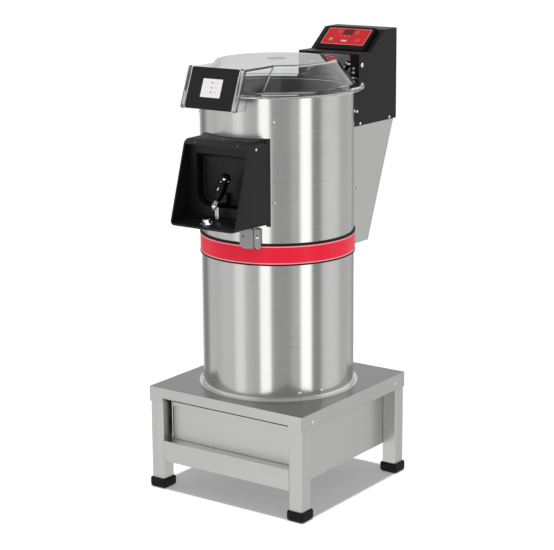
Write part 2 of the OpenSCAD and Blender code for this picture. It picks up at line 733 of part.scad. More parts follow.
// Black front plate of the hood, a flat cap on the sloping front
module lid_front_plate() color(black) at_axis()
    translate([0, -hood_front_top, dome_z]) rotate([-hood_slope, 0, 0]) translate([0, 0, -108])
        deep(-plate_t, 0) translate([0, 54]) rounded(150, 105, 3);

arm_x = 54;
arm_t = 5;
module lid_hinge_arms() color(chrome) at_axis() for (s = [-1, 1]) difference() {
    union() {
        translate([s * arm_x, 0, 0]) across(arm_t / 2) polygon([[196, flange_z + flange_t],
            [226, flange_z + flange_t], [hinge_y + 2, hinge_z - 8.5], [hinge_y - 5, hinge_z + 6],
            [222, flange_z + flange_t + 11], [196, flange_z + flange_t + 4]]);
        bar_x(9, s * arm_x - arm_t / 2, s * arm_x + arm_t / 2, hinge_y, hinge_z);
        translate([s * arm_x, 0, flange_z + flange_t]) block([-9, 198, 0], [9, 216, 3]);
    }
    bar_x(hinge_r + fit, -200, 200, hinge_y, hinge_z);
    dome(0.2, flange_z);
}

// ---- Control housing -----------------------------------------------------------

shell_half = housing_w / 2;
shell_t = 3;
ledge_z = 1132;
ledge_y = 241;
shelf_z = 1060;
slant_y = 300;
column_w = 28;
slant_top_z = housing_z - 1;
slant_top_y = slant_y + (slant_top_z - ledge_z) / tan(panel_slope);
front_plate_y = 276;

module housing_outside() across(shell_half) polygon([[100, shell_lo], [housing_reach, shell_lo],
    [housing_reach, housing_z], [slant_top_y, slant_top_z], [slant_y, ledge_z], [ledge_y, ledge_z],
    [ledge_y, shelf_z], [100, shelf_z]]);

module housing_inside() across(shell_half - shell_t) polygon([[90, shell_lo - 1],
    [housing_reach - shell_t, shell_lo - 1], [housing_reach - shell_t, housing_z - shell_t],
    [slant_top_y + 1, slant_top_z - shell_t], [slant_y + 1, ledge_z - shell_t],
    [ledge_y + shell_t, ledge_z - shell_t], [ledge_y + shell_t, shelf_z - shell_t],
    [90, shelf_z - shell_t]]);

module housing_shell() color(black) at_axis() difference() {
    housing_outside();
    housing_inside();
    bar_z(drum_r + 4, shell_lo - 1, housing_z, 0, 0);
    // the front between the two columns is open for the lid's arms
    block([-shell_half + column_w, ledge_y - 1, shelf_z - eps],
        [shell_half - column_w, ledge_y + shell_t + 1, ledge_z - shell_t]);
    bar_x(hinge_r, -200, 200, hinge_y, hinge_z);
    panel_frame() for (at = key_at) translate([at[0], at[1], -8]) cylinder(r = key_d / 2 - 2, h = 10);
}

module housing_front_plate() color(steel) at_axis()
    block([-shell_half + shell_t, front_plate_y, shelf_z - shell_t - 4],
        [shell_half - shell_t, front_plate_y + sheet, ledge_z - shell_t]);

// Two hinge pins, each through a column of the housing into one arm of the lid
module lid_hinge_rod() color(chrome) at_axis() for (turn = [0, 180])
    translate([0, hinge_y, hinge_z]) rotate([0, 0, turn]) {
        bar_x(hinge_r, arm_x - 5, shell_half, 0, 0);
        translate([shell_half, 0, 0]) pin_cap();
    }

// A pin's screwed end cap, standing out along +X
module pin_cap() rotate([0, 90, 0]) {
    cylinder(r = 6.5, h = 2);
    translate([0, 0, 2]) cylinder(r1 = 6.5, r2 = 4, h = 1.6);
}

// Lid switch: two plungers with their collars on the right-hand column
module lid_switch() color(chrome) at_axis() for (z = [1081, 1092]) {
    bar_y(4, ledge_y - 1.5, ledge_y, 80, z);
    bar_y(2.4, ledge_y - 6, ledge_y - 1, 80, z);
}

module housing_screws() color(chrome) at_axis()
    for (s = [-1, 1], at = [[232, 980], [247, 946], [394, 946]])
        translate([s * shell_half, at[0], at[1]]) rotate([0, 0, s > 0 ? 0 : 180]) pan_screw(4, 2.5);

// The sloping panel's own frame: x across, y up the slope, z out of it
module panel_frame() translate([0, slant_y, ledge_z]) rotate([panel_slope, 0, 0]) children();

bezel_w = 160;
bezel_lo = -8;
bezel_hi = 84;
bezel_t = 9;
overlay_w = 138;
overlay_lo = 11;
overlay_hi = 74;
overlay_t = 1.5;
window = [31, 22];
window_y = 60;
key_at = [[-43, 30], [43, 30], [-28, 59], [28, 59]];
key_gap = 0.15;
key_top = 1.5;
stem_r = 2.5;
stem_lo = -12;
well_z = 2;

module bezel_slab(inset, h) translate([0, (bezel_lo + bezel_hi) / 2, 0])
    linear_extrude(h) rounded(bezel_w - 2 * inset, bezel_hi - bezel_lo - 2 * inset, 7 - inset);

module control_bezel() color(black) at_axis() difference() {
    panel_frame() difference() {
        union() {
            bezel_slab(0, bezel_t - 2);
            bezel_slab(2, bezel_t);
        }
        for (at = key_at) translate([at[0], at[1], 0]) {
            translate([0, 0, well_z]) cylinder(r = key_d / 2 + key_gap, h = bezel_t);
            translate([0, 0, -1]) cylinder(r = stem_r + key_gap * 2, h = bezel_t);
        }
        translate([0, (overlay_lo + overlay_hi) / 2, bezel_t - overlay_t / 2])
            linear_extrude(3) rounded(overlay_w, overlay_hi - overlay_lo, 3);
    }
    // its lower edge sits on the ledge
    block([-bezel_w, ledge_y, ledge_z - 40], [bezel_w, slant_y + 10, ledge_z]);
}

module control_overlay() color(panel_red) at_axis() panel_frame() difference() {
    translate([0, (overlay_lo + overlay_hi) / 2, bezel_t - overlay_t / 2])
        linear_extrude(overlay_t) rounded(overlay_w, overlay_hi - overlay_lo, 3);
    for (at = key_at) translate([at[0], at[1], 0]) cylinder(r = key_d / 2 + key_gap, h = 20);
    translate([0, window_y, 10]) cube([window[0], window[1], 30], center = true);
}

module display_window() color([0.25, 0.02, 0.03]) at_axis() panel_frame()
    translate([-window[0] / 2, window_y - window[1] / 2, bezel_t - overlay_t / 2])
        cube([window[0], window[1], 1]);

module control_board() color("darkgreen") at_axis() panel_frame() {
    translate([-65, 8, -16]) cube([130, 66, 1.6]);
    for (x = [-45, 45]) translate([x - 9, 20, -28]) cube([18, 40, 12]);
}

// A key: a round cap in its well, with the stem that works the switch below
module key(i) color(panel_red) at_axis() panel_frame() translate([key_at[i][0], key_at[i][1], 0]) {
    translate([0, 0, well_z + key_top]) cylinder(r = key_d / 2, h = bezel_t - well_z - 0.5);
    translate([0, 0, bezel_t + key_top - 0.5]) cylinder(r1 = key_d / 2, r2 = key_d / 2 - 0.6, h = 0.5);
    translate([0, 0, stem_lo]) cylinder(r = stem_r, h = well_z + key_top - stem_lo);
}

module start_key() key(0);

module stop_key() key(1);

module minus_key() key(2);

module plus_key() key(3);

stand_top();
legs();
feet();
front_rail();
box_side_left();
box_side_right();
box_floor();
stand_screws();
drawer_front();
drawer_basket();
lower_drum();
drum_screws();
joint_band();
upper_drum();
rim_seal();
drum_clamp();
chamber_floor();
bearing_housing();
bearings();
shaft_seal();
motor_plate();
motor_body();
motor_shaft();
motor_pulley();
drive_belt();
driven_pulley();
main_shaft();
abrasive_plate();
plate_nut();
abrasive_liner();
drain_pipe();
water_inlet();
cable_gland();
rear_duct();
chute_hood();
door_frame();
chute_screws();
door_keeper();
door_hinge_pin();
door_panel();
door_gasket();
lever_bolt();
lever_arm();
lever_grip();
lid_shell();
lid_front_plate();
lid_hinge_arms();
lid_hinge_rod();
lid_switch();
housing_shell();
housing_front_plate();
housing_screws();
control_bezel();
control_overlay();
display_window();
control_board();
start_key();
stop_key();
minus_key();
plus_key();
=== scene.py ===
"""Looks of the electric potato peeler: its finishes, its small trim, and the studio it stands in.

Lengths are metres in the model's own frame: +Z is up, -Y is the front and the floor is z = 0.
"""

import logging
from collections.abc import Callable, Iterable, Mapping, Sequence
from dataclasses import dataclass
from enum import Enum
from functools import reduce
from itertools import product
from math import cos, pi, radians, sin, sqrt, tau
from typing import Any, ClassVar

import bmesh
import bpy
from bpy.types import ID, Collection, Material, Mesh, Node, NodeSocket, Object, World
from mathutils import Matrix, Vector


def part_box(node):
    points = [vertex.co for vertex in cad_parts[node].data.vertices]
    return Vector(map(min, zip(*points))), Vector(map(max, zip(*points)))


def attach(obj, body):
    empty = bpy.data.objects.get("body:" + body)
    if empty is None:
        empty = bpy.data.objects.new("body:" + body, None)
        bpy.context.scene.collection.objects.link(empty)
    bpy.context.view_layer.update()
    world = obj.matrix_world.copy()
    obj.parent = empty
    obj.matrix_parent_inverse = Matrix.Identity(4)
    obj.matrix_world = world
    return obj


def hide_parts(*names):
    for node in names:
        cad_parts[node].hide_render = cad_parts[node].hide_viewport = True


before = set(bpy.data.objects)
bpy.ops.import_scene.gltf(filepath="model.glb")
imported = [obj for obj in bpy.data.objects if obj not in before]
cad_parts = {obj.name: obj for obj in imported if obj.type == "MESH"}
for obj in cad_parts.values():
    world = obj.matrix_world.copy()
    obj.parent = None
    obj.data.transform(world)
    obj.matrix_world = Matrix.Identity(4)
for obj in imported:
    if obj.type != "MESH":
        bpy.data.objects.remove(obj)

LOG = logging.getLogger("peeler")
PHOTO_WIDTH = 554
MM = 0.001
SAME_POINT = 0.000005
FLAT_DEG = 0.5
SHARP_DEG = 35.0
DRUM_STEPS = 256
ACROSS_X = Vector((1.0, 0.0, 0.0))
UP_Z = Vector((0.0, 0.0, 1.0))

Colour = tuple[float, float, float]
Point2 = tuple[float, float]
Noise = tuple[float, float, float]
Settings = Mapping[str, Any] | None
Sockets = Mapping[int | str, Any] | None


# ---- Node trees ----


def configure(item: Any, settings: Mapping[str, Any]) -> Any:
    """Sets properties of an item and returns it."""
    for name, setting in settings.items():
        setattr(item, name, setting)
    return item


def maths(operation: str, last: bool = False) -> Callable[..., "Wire"]:
    """Makes a method of Wire that adds one kind of Math node.

    Args:
        operation: the Math node's operation.
        last: puts the wire itself behind the other values.

    Returns:
        The method.
    """

    def method(wire: "Wire", *others: Any) -> "Wire":
        """Adds the node and returns its result."""
        values = (*others, wire) if last else (wire, *others)
        return wire.sheet.wire("ShaderNodeMath", {"operation": operation}, dict(enumerate(values)))

    return method


class Wire:
    """A socket that takes part in arithmetic: each operator adds the Math node that does it."""

    __add__ = __radd__ = maths("ADD")
    __mul__ = __rmul__ = maths("MULTIPLY")
    __sub__, __rsub__ = maths("SUBTRACT"), maths("SUBTRACT", last=True)
    __truediv__, __pow__, __abs__ = maths("DIVIDE"), maths("POWER"), maths("ABSOLUTE")
    most, above, below = maths("MAXIMUM"), maths("GREATER_THAN"), maths("LESS_THAN")
    bearing = maths("ARCTAN2")

    def __init__(self, sheet: "NodeSheet", socket: NodeSocket) -> None:
        """Keeps the socket and the sheet that it is on."""
        self.sheet = sheet
        self.socket = socket

    def rise(self, low: float, high: float) -> "Wire":
        """A smooth step from 0 at low to 1 at high, or falling where high is below low."""
        values = {"Value": self, "From Min": low, "From Max": high}
        return self.sheet.wire("ShaderNodeMapRange", {"interpolation_type": "SMOOTHSTEP"}, values)

    def sway(self, amount: float) -> "Wire":
        """Turns noise from 0 to 1 into a swing of this amount about zero."""
        return (self - 0.5) * amount

    def dim(self, tone: float) -> "Wire":
        """1 where this is 0, and the tone where this is 1."""
        return 1.0 - self * (1.0 - tone)


class NodeSheet:
    """The node tree of a material or of the world."""

    def __init__(self, owner: Material | World) -> None:
        """Takes over the owner's tree and empties it."""
        owner.use_nodes = True
        self.tree = owner.node_tree
        self.tree.nodes.clear()

    def node(self, kind: str, settings: Settings = None, values: Sockets = None) -> Node:
        """Adds one node.

        Args:
            kind: the node's type.
            settings: its properties, set before its sockets.
            values: numbers, tuples or wires by the name or index of the socket.

        Returns:
            The node.
        """
        node = configure(self.tree.nodes.new(kind), settings or {})
        for key, value in (values or {}).items():
            socket = node.inputs[key]
            if isinstance(value, Wire):
                self.tree.links.new(value.socket, socket)
            elif isinstance(value, tuple) and socket.type == "RGBA":
                socket.default_value = (*value[:3], 1.0)
            else:
                socket.default_value = value
        return node

    def wire(
        self, kind: str, settings: Settings = None, values: Sockets = None, output: int | str = 0
    ) -> Wire:
        """Adds one node and returns one of its outputs."""
        return Wire(self, self.node(kind, settings, values).outputs[output])

    def mix(self, first: Any, second: Any, factor: Any) -> Wire:
        """Blends two colours: the first where factor is 0, the second where it is 1."""
        return self.wire("ShaderNodeMix", {"data_type": "RGBA"}, {0: factor, 6: first, 7: second}, 2)

    def tint(self, colour: Any, factor: Wire) -> Wire:
        """A colour made lighter or darker by a value."""
        return self.wire("ShaderNodeVectorMath", {"operation": "SCALE"}, {0: colour, "Scale": factor})

    def place(self) -> Wire:
        """The place of the shaded point in the model's frame."""
        return self.wire("ShaderNodeTexCoord", output="Object")

    def split(self, vector: Wire) -> tuple[Wire, Wire, Wire]:
        """The three parts of a vector."""
        node = self.node("ShaderNodeSeparateXYZ", values={0: vector})
        return tuple(Wire(self, socket) for socket in node.outputs)

    def join(self, x: Any, y: Any, z: Any) -> Wire:
        """A vector from its three parts."""
        return self.wire("ShaderNodeCombineXYZ", values={0: x, 1: y, 2: z})

    def dot(self, vector: Wire, direction: Sequence[float]) -> Wire:
        """How far a vector reaches along a direction."""
        values = {0: vector, 1: tuple(direction)}
        return self.wire("ShaderNodeVectorMath", {"operation": "DOT_PRODUCT"}, values, "Value")

    def noise(self, vector: Wire, scale: float, detail: float = 2.0, roughness: float = 0.5) -> Wire:
        """Soft noise from 0 to 1."""
        values = {"Vector": vector, "Scale": scale, "Detail": detail, "Roughness": roughness}
        return self.wire("ShaderNodeTexNoise", {"noise_dimensions": "3D"}, values)

    def bump(self, height: Wire, distance: float, strength: float = 1.0) -> Wire:
        """A normal that follows a height, distance being what a height of 1 stands for in metres."""
        values = {"Height": height, "Distance": distance, "Strength": strength}
        return self.wire("ShaderNodeBump", values=values)


# ---- Finishes ----


class Grain(Enum):
    """Which way a brushed sheet's scratches run: round a centre, or along the axis marked 1."""

    ROUND = ()
    ACROSS = (1, 0, 0)
    DEEP = (0, 1, 0)
    UPRIGHT = (0, 0, 1)


MADE: dict[str, Material] = {}


@dataclass(frozen=True)
class Finish:
    """A surface finish. Each kind links the sockets that vary over its surface.

    A noise is given by its scale, detail and roughness. Lengths such as a pitch are the size of one mark.
    """

    name: str
    slot: str
    colour: Colour
    roughness: float
    metallic: float = 0.0
    constants: tuple[tuple[str, float], ...] = ()

    def material(self) -> Material:
        """Returns this finish's material, made once."""
        if self.name not in MADE:
            material = MADE[self.name] = bpy.data.materials.new(f"{self.name}_finish")
            sheet = NodeSheet(material)
            values = {"Base Color": self.colour, "Roughness": self.roughness, "Metallic": self.metallic}
            shader = sheet.node("ShaderNodeBsdfPrincipled", values=values | dict(self.constants))
            for name, wire in self.surface(sheet).items():
                sheet.tree.links.new(wire.socket, shader.inputs[name])
            sheet.node("ShaderNodeOutputMaterial", values={"Surface": Wire(sheet, shader.outputs[0])})
        return MADE[self.name]

    def surface(self, sheet: NodeSheet) -> dict[str, Wire]:
        """Returns the wires that feed the shader's sockets, by socket name."""
        raise NotImplementedError


@dataclass(frozen=True)
class BrushedSteel(Finish):
    """Stainless sheet with fine scratches along its grain and faint cloudy handling marks.

    A round grain turns about the centre at the given radius. The colour is darkened above a given height, as
    painted shade.
    """

    grain: Grain = Grain.ACROSS
    centre: Point2 = (0.0, 0.0)
    radius: float = 0.2
    line: float = 0.0009
    stroke: float = 0.16
    depth: float = 0.00003
    streaks: float = 0.08
    patches: float = 0.08
    gloss: Point2 = (0.10, 0.06)
    fine: Noise = (1.0, 3.0, 0.6)
    broad: Noise = (0.22, 2.0, 0.5)
    cloud: Noise = (7.0, 3.0, 0.55)
    painted_shade_above: float | None = None
    painted_shade_tone: float = 0.36

    def along(self, sheet: NodeSheet, place: Wire) -> Wire:
        """Coordinates that are stretched along the grain, one unit being one scratch across it."""
        x, y, z = sheet.split(place)
        slow, fast = 1.0 / self.stroke, 1.0 / self.line
        if self.grain is Grain.ROUND:
            angle = (x - self.centre[0]).bearing(y - self.centre[1])
            return sheet.join(angle * (slow * self.radius), z * fast, 0.0)
        ways = zip((x, y, z), self.grain.value)
        return sheet.join(*(part * (slow if marked else fast) for part, marked in ways))

    def surface(self, sheet: NodeSheet) -> dict[str, Wire]:
        """Scratches tint, roughen and furrow the sheet."""
        place = sheet.place()
        along = self.along(sheet, place)
        fine, broad = sheet.noise(along, *self.fine), sheet.noise(along, *self.broad)
        cloud = sheet.noise(place, *self.cloud)
        tone = 1.0 + fine.sway(self.streaks) + broad.sway(self.streaks) + cloud.sway(self.patches)
        # painted shade: the sheet's colour is darkened above the given height
        if self.painted_shade_above is not None:
            _, _, z = sheet.split(place)
            tone = tone * z.above(self.painted_shade_above).dim(self.painted_shade_tone)
        return {
            "Base Color": sheet.tint(self.colour, tone),
            "Roughness": self.roughness + broad.sway(self.gloss[0]) + cloud.sway(self.gloss[1]),
            "Normal": sheet.bump(fine + broad * 0.5, self.depth),
        }


@dataclass(frozen=True)
class BrightMetal(Finish):
    """Polished or plated metal with faint tool marks, with painted shade near the model's middle plane where
    asked.
    """

    pitch: float = 0.0015
    depth: float = 0.00001
    uneven: float = 0.08
    cloud_scale: float = 45.0
    painted_shade_within: float | None = None
    painted_shade_tone: float = 0.22

    def surface(self, sheet: NodeSheet) -> dict[str, Wire]:
        """Fine marks in the gloss, and a slight unevenness of tone."""
        place = sheet.place()
        marks = sheet.noise(place, 1.0 / self.pitch, 3.0)
        tone = 1.0 + sheet.noise(place, self.cloud_scale).sway(self.uneven)
        if self.painted_shade_within is not None:
            # painted shade: the colour is darkened near the model's middle plane
            x, _, _ = sheet.split(place)
            tone = tone * abs(x).below(self.painted_shade_within).dim(self.painted_shade_tone)
        return {
            "Base Color": sheet.tint(self.colour, tone),
            "Roughness": self.roughness + marks.sway(self.uneven),
            "Normal": sheet.bump(marks, self.depth),
        }


@dataclass(frozen=True)
class Moulding(Finish):
    """Moulded or painted surface with a fine grain and a little dust in its tone."""

    pitch: float = 0.0012
    depth: float = 0.00004
    mottle: float = 0.25
    speckle: float = 0.1
    gloss: Point2 = (0.12, 0.08)
    cloud: Noise = (18.0, 3.0, 0.6)

    def surface(self, sheet: NodeSheet) -> dict[str, Wire]:
        """Grain in the normal, mottled tone and gloss."""
        place = sheet.place()
        grain = sheet.noise(place, 1.0 / self.pitch, 2.0, 0.6)
        cloud = sheet.noise(place, *self.cloud)
        return {
            "Base Color": sheet.tint(self.colour, 1.0 + cloud.sway(self.mottle) + grain.sway(self.speckle)),
            "Roughness": self.roughness + cloud.sway(self.gloss[0]) + grain.sway(self.gloss[1]),
            "Normal": sheet.bump(grain, self.depth),
        }


@dataclass(frozen=True)
class ClearMoulding(Finish):
    """Clear plastic with faint smears, greyer on its sides than on its flat top: painted shade.

    The shoulder is how far below the top the tone changes. Smears dull or grey it between two noise levels.
    """

    top: float = 0.0
    painted_side_shade: float = 0.8
    shoulder: Point2 = (0.010, 0.002)
    smears: Noise = (14.0, 3.0, 0.6)
    dull_smears: Point2 = (0.45, 0.8)
    grey_smears: Point2 = (0.5, 0.9)
    smear_depth: float = 0.03

    def surface(self, sheet: NodeSheet) -> dict[str, Wire]:
        """Smears change the gloss, height the tone: the sides get painted shade."""
        place = sheet.place()
        smear = sheet.noise(place, *self.smears)
        _, _, z = sheet.split(place)
        # painted shade: below the top the sides get a greyer colour
        below = z.rise(self.top - self.shoulder[1], self.top - self.shoulder[0])
        tone = below.dim(self.painted_side_shade) - smear.rise(*self.grey_smears) * self.smear_depth
        return {
            "Roughness": self.roughness + smear.rise(*self.dull_smears) * self.smear_depth,
            "Base Color": sheet.tint(self.colour, tone),
        }


@dataclass(frozen=True)
class Grit(Finish):
    """Abrasive grains bonded to a carrier. Its tones are those of the carrier, the grains and the dirt."""

    grain: float = 0.0018
    depth: float = 0.0005
    relief: float = 0.8
    dirt: Point2 = (24.0, 3.0)
    tones: Noise = (0.7, 0.5, 0.2)
    polish: float = 0.15

    def surface(self, sheet: NodeSheet) -> dict[str, Wire]:
        """Grains as small cells of uneven height and tone."""
        place = sheet.place()
        cells = sheet.wire("ShaderNodeTexVoronoi", values={"Vector": place, "Scale": 1.0 / self.grain})
        base, bright, dusty = self.tones
        tone = base + cells * bright + sheet.noise(place, *self.dirt) * dusty
        return {
            "Base Color": sheet.tint(self.colour, tone),
            "Roughness": self.roughness - cells * self.polish,
            "Normal": sheet.bump(cells, self.depth, self.relief),
        }


@dataclass(frozen=True)
class Face:
    """A flat face."""

    origin: Vector
    right: Vector
    up: Vector

    def frame(self, across: float = 0.0) -> Matrix:
        """A frame at a place across the face: X along right, Y along up, and Z out of it."""
        return facing(self.origin + self.right * across, self.right, self.up)


class Stencil:
    """Shapes on a face, in millimetres from its origin: 1 inside them, 0 outside."""

    soft = 0.15

    def __init__(self, sheet: NodeSheet, face: Face) -> None:
        """Measures the shaded point across and up the face."""
        place = sheet.place()
        self.u, self.v = (
            (sheet.dot(place, way) - face.origin.dot(way)) / MM for way in (face.right, face.up)
        )

    def bar(self, at: Point2, half: Point2, soft: float = soft) -> Wire:
        """A filled rectangle of twice the half sizes."""
        return (abs(self.u - at[0]) - half[0]).most(abs(self.v - at[1]) - half[1]).rise(soft, -soft)

    def disc(self, at: Point2, radius: float, soft: float = soft) -> Wire:
        """A filled circle."""
        return (self._apart(at) - radius).rise(soft, -soft)

    def hoop(self, at: Point2, radius: float, half: float) -> Wire:
        """A circle's outline, half being half its thickness."""
        return (abs(self._apart(at) - radius) - half).rise(self.soft, -self.soft)

    def _apart(self, at: Point2) -> Wire:
        """The distance from a point."""
        return ((self.u - at[0]) ** 2 + (self.v - at[1]) ** 2) ** 0.5


def merge(shapes: Iterable[Wire]) -> Wire:
    """All of the shapes together."""
    return reduce(Wire.most, shapes)


class Mark(Enum):
    """What is printed on a key, by the key's node."""

    START = "start_key"
    STOP = "stop_key"
    MINUS = "minus_key"
    PLUS = "plus_key"


WHITE: Colour = (1.0, 1.0, 1.0)
RED_FILM: Colour = (0.60, 0.016, 0.020)
PALE_INK: Colour = (0.62, 0.50, 0.48)
GREY_INK: Colour = (0.42, 0.20, 0.19)
GREEN_INK: Colour = (0.16, 0.36, 0.17)
CENTRE: Point2 = (0.0, 0.0)


@dataclass(frozen=True)
class KeyFilm(Finish):
    """Red film over one key: a triangle on a green disc, or a sign in a ring, in millimetres.

    The strength is that of the triangle's ink and of a sign's.
    """

    mark: Mark = Mark.START
    face: Face | None = None
    ring: Point2 = (6.0, 0.35)
    bar: Point2 = (2.8, 0.45)
    square: Point2 = (1.9, 1.9)
    button: float = 6.2
    rim: Point2 = (6.3, 0.4)
    strength: Point2 = (0.6, 0.55)
    peel: Point2 = (600.0, 0.00001)

    def surface(self, sheet: NodeSheet) -> dict[str, Wire]:
        """The key's symbol over the film's red."""
        ink = Stencil(sheet, self.face)
        if self.mark is Mark.START:
            disc = ink.disc(CENTRE, self.button)
            soft = ink.soft
            slopes = (abs(ink.v) * 0.9 + ink.u * 0.55 - 1.6).rise(soft, -soft)
            triangle = slopes * (ink.u + 2.0).rise(-soft, soft)
            ground = sheet.mix(self.colour, GREEN_INK, disc)
            ground = sheet.mix(ground, GREY_INK, ink.hoop(CENTRE, *self.rim))
            return self._film(sheet, sheet.mix(ground, PALE_INK, triangle * disc * self.strength[0]))
        shapes = {
            Mark.STOP: (self.square,),
            Mark.MINUS: (self.bar,),
            Mark.PLUS: (self.bar, self.bar[::-1]),
        }[self.mark]
        symbol = merge([ink.hoop(CENTRE, *self.ring), *(ink.bar(CENTRE, half) for half in shapes)])
        return self._film(sheet, sheet.mix(self.colour, PALE_INK, symbol * self.strength[1]))

    def _film(self, sheet: NodeSheet, colour: Wire) -> dict[str, Wire]:
        """Adds the film's slight orange-peel."""
        scale, depth = self.peel
        return {"Base Color": colour, "Normal": sheet.bump(sheet.noise(sheet.place(), scale), depth)}


@dataclass(frozen=True)
class KeypadFilm(KeyFilm):
    """The printed film round the keys: pale border, a row of small signs and a plain pale pill.

    A sign is a dash and a dot above it, each given by its height and its size.
    """

    half: Point2 = (69.0, 31.5)
    inset: float = 1.4
    border: float = 0.45
    signs: tuple[float, ...] = (-18.0, -6.0, 8.0)
    dash: tuple[float, Point2] = (1.0, (2.6, 0.5))
    dot: Point2 = (3.6, 1.1)
    faint: float = 0.7
    pill: tuple[Point2, Point2] = ((0.0, -16.5), (9.0, 3.2))

    def surface(self, sheet: NodeSheet) -> dict[str, Wire]:
        """Border and signs over the film's red."""
        ink = Stencil(sheet, self.face)
        across, rise = (size - self.inset for size in self.half)
        edge = (abs(ink.u) - across).most(abs(ink.v) - rise)
        shapes = [(abs(edge) - self.border).rise(0.2, -0.2), ink.bar(*self.pill, 0.3)]
        (low, half), (high, radius) = self.dash, self.dot
        for x in self.signs:
            shapes += [ink.bar((x, low), half) * self.faint, ink.disc((x, high), radius) * self.faint]
        return self._film(sheet, sheet.mix(self.colour, PALE_INK, merge(shapes)))


@dataclass(frozen=True)
class DisplayWindow(Finish):
    """Dark red window over a two-digit display that shows 00."""

    face: Face | None = None
    digits: Point2 = (-6.2, 6.2)
    half: Point2 = (3.6, 6.6)
    stroke: float = 0.7
    lit: Colour = (0.30, 0.02, 0.02)

    def surface(self, sheet: NodeSheet) -> dict[str, Wire]:
        """Seven-segment figures, faintly lit."""
        ink = Stencil(sheet, self.face)
        w, h = self.half
        level, upright = (w * 0.8, self.stroke), (self.stroke, h * 0.42)
        segments = [ink.bar((x, y), level) for x, y in product(self.digits, (h, -h))]
        for x, side, y in product(self.digits, (-w, w), (h / 2, -h / 2)):
            segments.append(ink.bar((x + side, y), upright))
        return {"Base Color": sheet.mix(self.colour, self.lit, merge(segments))}


@dataclass(frozen=True)
class PrintedCard(Finish):
    """White card with three red dots and faint grey lines beside them.

    A line is its place from its row's dot, its half sizes and its strength.
    """

    face: Face | None = None
    rows: tuple[float, ...] = (14.0, 1.6, -10.0)
    dot: float = 2.3
    lines: tuple[tuple[Point2, Point2, float], ...] = (
        ((-15.0, 0.0), (5.5, 0.6), 0.5),
        ((12.5, 0.0), (6.0, 0.7), 1.0),
        ((9.0, -4.0), (9.5, 0.35), 0.4),
    )
    soft: float = 0.3
    grey: Colour = (0.55, 0.56, 0.57)
    red: Colour = (0.55, 0.06, 0.12)

    def surface(self, sheet: NodeSheet) -> dict[str, Wire]:
        """Dots in a column, lines on both sides."""
        ink = Stencil(sheet, self.face)
        dots = merge([ink.disc((0.0, row), self.dot, self.soft) for row in self.rows])
        lines = merge([
            ink.bar((at[0], row + at[1]), half, self.soft) * strength
            for row, (at, half, strength) in product(self.rows, self.lines)
        ])
        return {"Base Color": sheet.mix(sheet.mix(self.colour, self.grey, lines), self.red, dots)}


# ---- Forms ----


def placed(name: str, data: ID) -> Object:
    """Puts data into the scene as a new object."""
    item = bpy.data.objects.new(name, data)
    bpy.context.scene.collection.objects.link(item)
    return item


def circle(steps: int) -> list[Point2]:
    """Points of the unit circle."""
    return [(cos(tau * i / steps), sin(tau * i / steps)) for i in range(steps)]


class Form:
    """A mesh under construction, in the model's frame."""

    def __init__(self) -> None:
        """Starts an empty mesh."""
        self.mesh = bmesh.new()

    def revolve(self, profile: Sequence[Point2], at: Matrix, steps: int = DRUM_STEPS) -> "Form":
        """Turns a closed profile of (radius, height) points about the Z axis of a frame.

        Args:
            profile: the outline, which may start and end on the axis.
            at: the frame.
            steps: divisions of the full turn.

        Returns:
            This form.
        """
        rings = []
        for radius, height in profile:
            if radius > 0.0:
                rings.append(self._ring(at, [(radius * x, radius * y, height) for x, y in circle(steps)]))
            else:
                rings.append(self._ring(at, [(0.0, 0.0, height)]) * steps)
        for low, high in zip(rings, rings[1:] + rings[:1]):
            self._bridge(low, high)
        return self

    def prism(self, outline: Sequence[Point2], low: float, high: float, at: Matrix) -> "Form":
        """Raises an outline from one height to another in a frame."""
        floor, roof = (self._ring(at, [(x, y, z) for x, y in outline]) for z in (low, high))
        self.mesh.faces.new(reversed(floor))
        self.mesh.faces.new(roof)
        self._bridge(floor, roof)
        return self

    def sweep(self, path: Sequence[Vector], side: Vector, radius: float, steps: int = 10) -> "Form":
        """Draws a round bead along a path that lies in one plane.

        Args:
            path: the points of its middle line.
            side: the direction square to the path's plane.
            radius: the bead's radius.
            steps: points round it.

        Returns:
            This form.
        """
        rings = []
        for i, point in enumerate(path):
            along = (path[min(i + 1, len(path) - 1)] - path[max(i - 1, 0)]).normalized()
            at = facing(point, side, along.cross(side))
            rings.append(self._ring(at, [(radius * x, radius * y, 0.0) for x, y in circle(steps)]))
        for low, high in zip(rings, rings[1:]):
            self._bridge(low, high)
        for end in (rings[0], rings[-1]):
            self.mesh.faces.new(end)
        return self

    def _ring(self, at: Matrix, points: Iterable[tuple[float, float, float]]) -> list[bmesh.types.BMVert]:
        """Adds points of a frame."""
        return [self.mesh.verts.new(at @ Vector(point)) for point in points]

    def _bridge(self, low: Sequence[bmesh.types.BMVert], high: Sequence[bmesh.types.BMVert]) -> None:
        """Joins two rings of equally many points, where a ring may be one point repeated."""
        for i in range(len(low)):
            corners = list(dict.fromkeys((low[i - 1], low[i], high[i], high[i - 1])))
            if len(corners) > 2:
                self.mesh.faces.new(corners)

    def data(self, name: str) -> Mesh:
        """Ends the construction and returns the mesh, its faces turned outward."""
        bmesh.ops.recalc_face_normals(self.mesh, faces=self.mesh.faces)
        data = bpy.data.meshes.new(name)
        self.mesh.to_mesh(data)
        self.mesh.free()
        return data

    def piece(self, name: str, body: str, finish: Finish, crease: float = SHARP_DEG) -> Object:
        """Turns the form into a piece that rides on a body.

        Args:
            name: the piece's name.
            body: the body that carries it.
            finish: its finish.
            crease: edges that turn more than this many degrees stay sharp.

        Returns:
            The piece.
        """
        data = self.data(name)
        data.shade_smooth()
        data.set_sharp_from_angle(angle=radians(crease))
        data.materials.append(finish.material())
        piece = placed(name, data)
        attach(piece, body)
        LOG.info("built %s on %s: %d faces", name, body, len(data.polygons))
        return piece


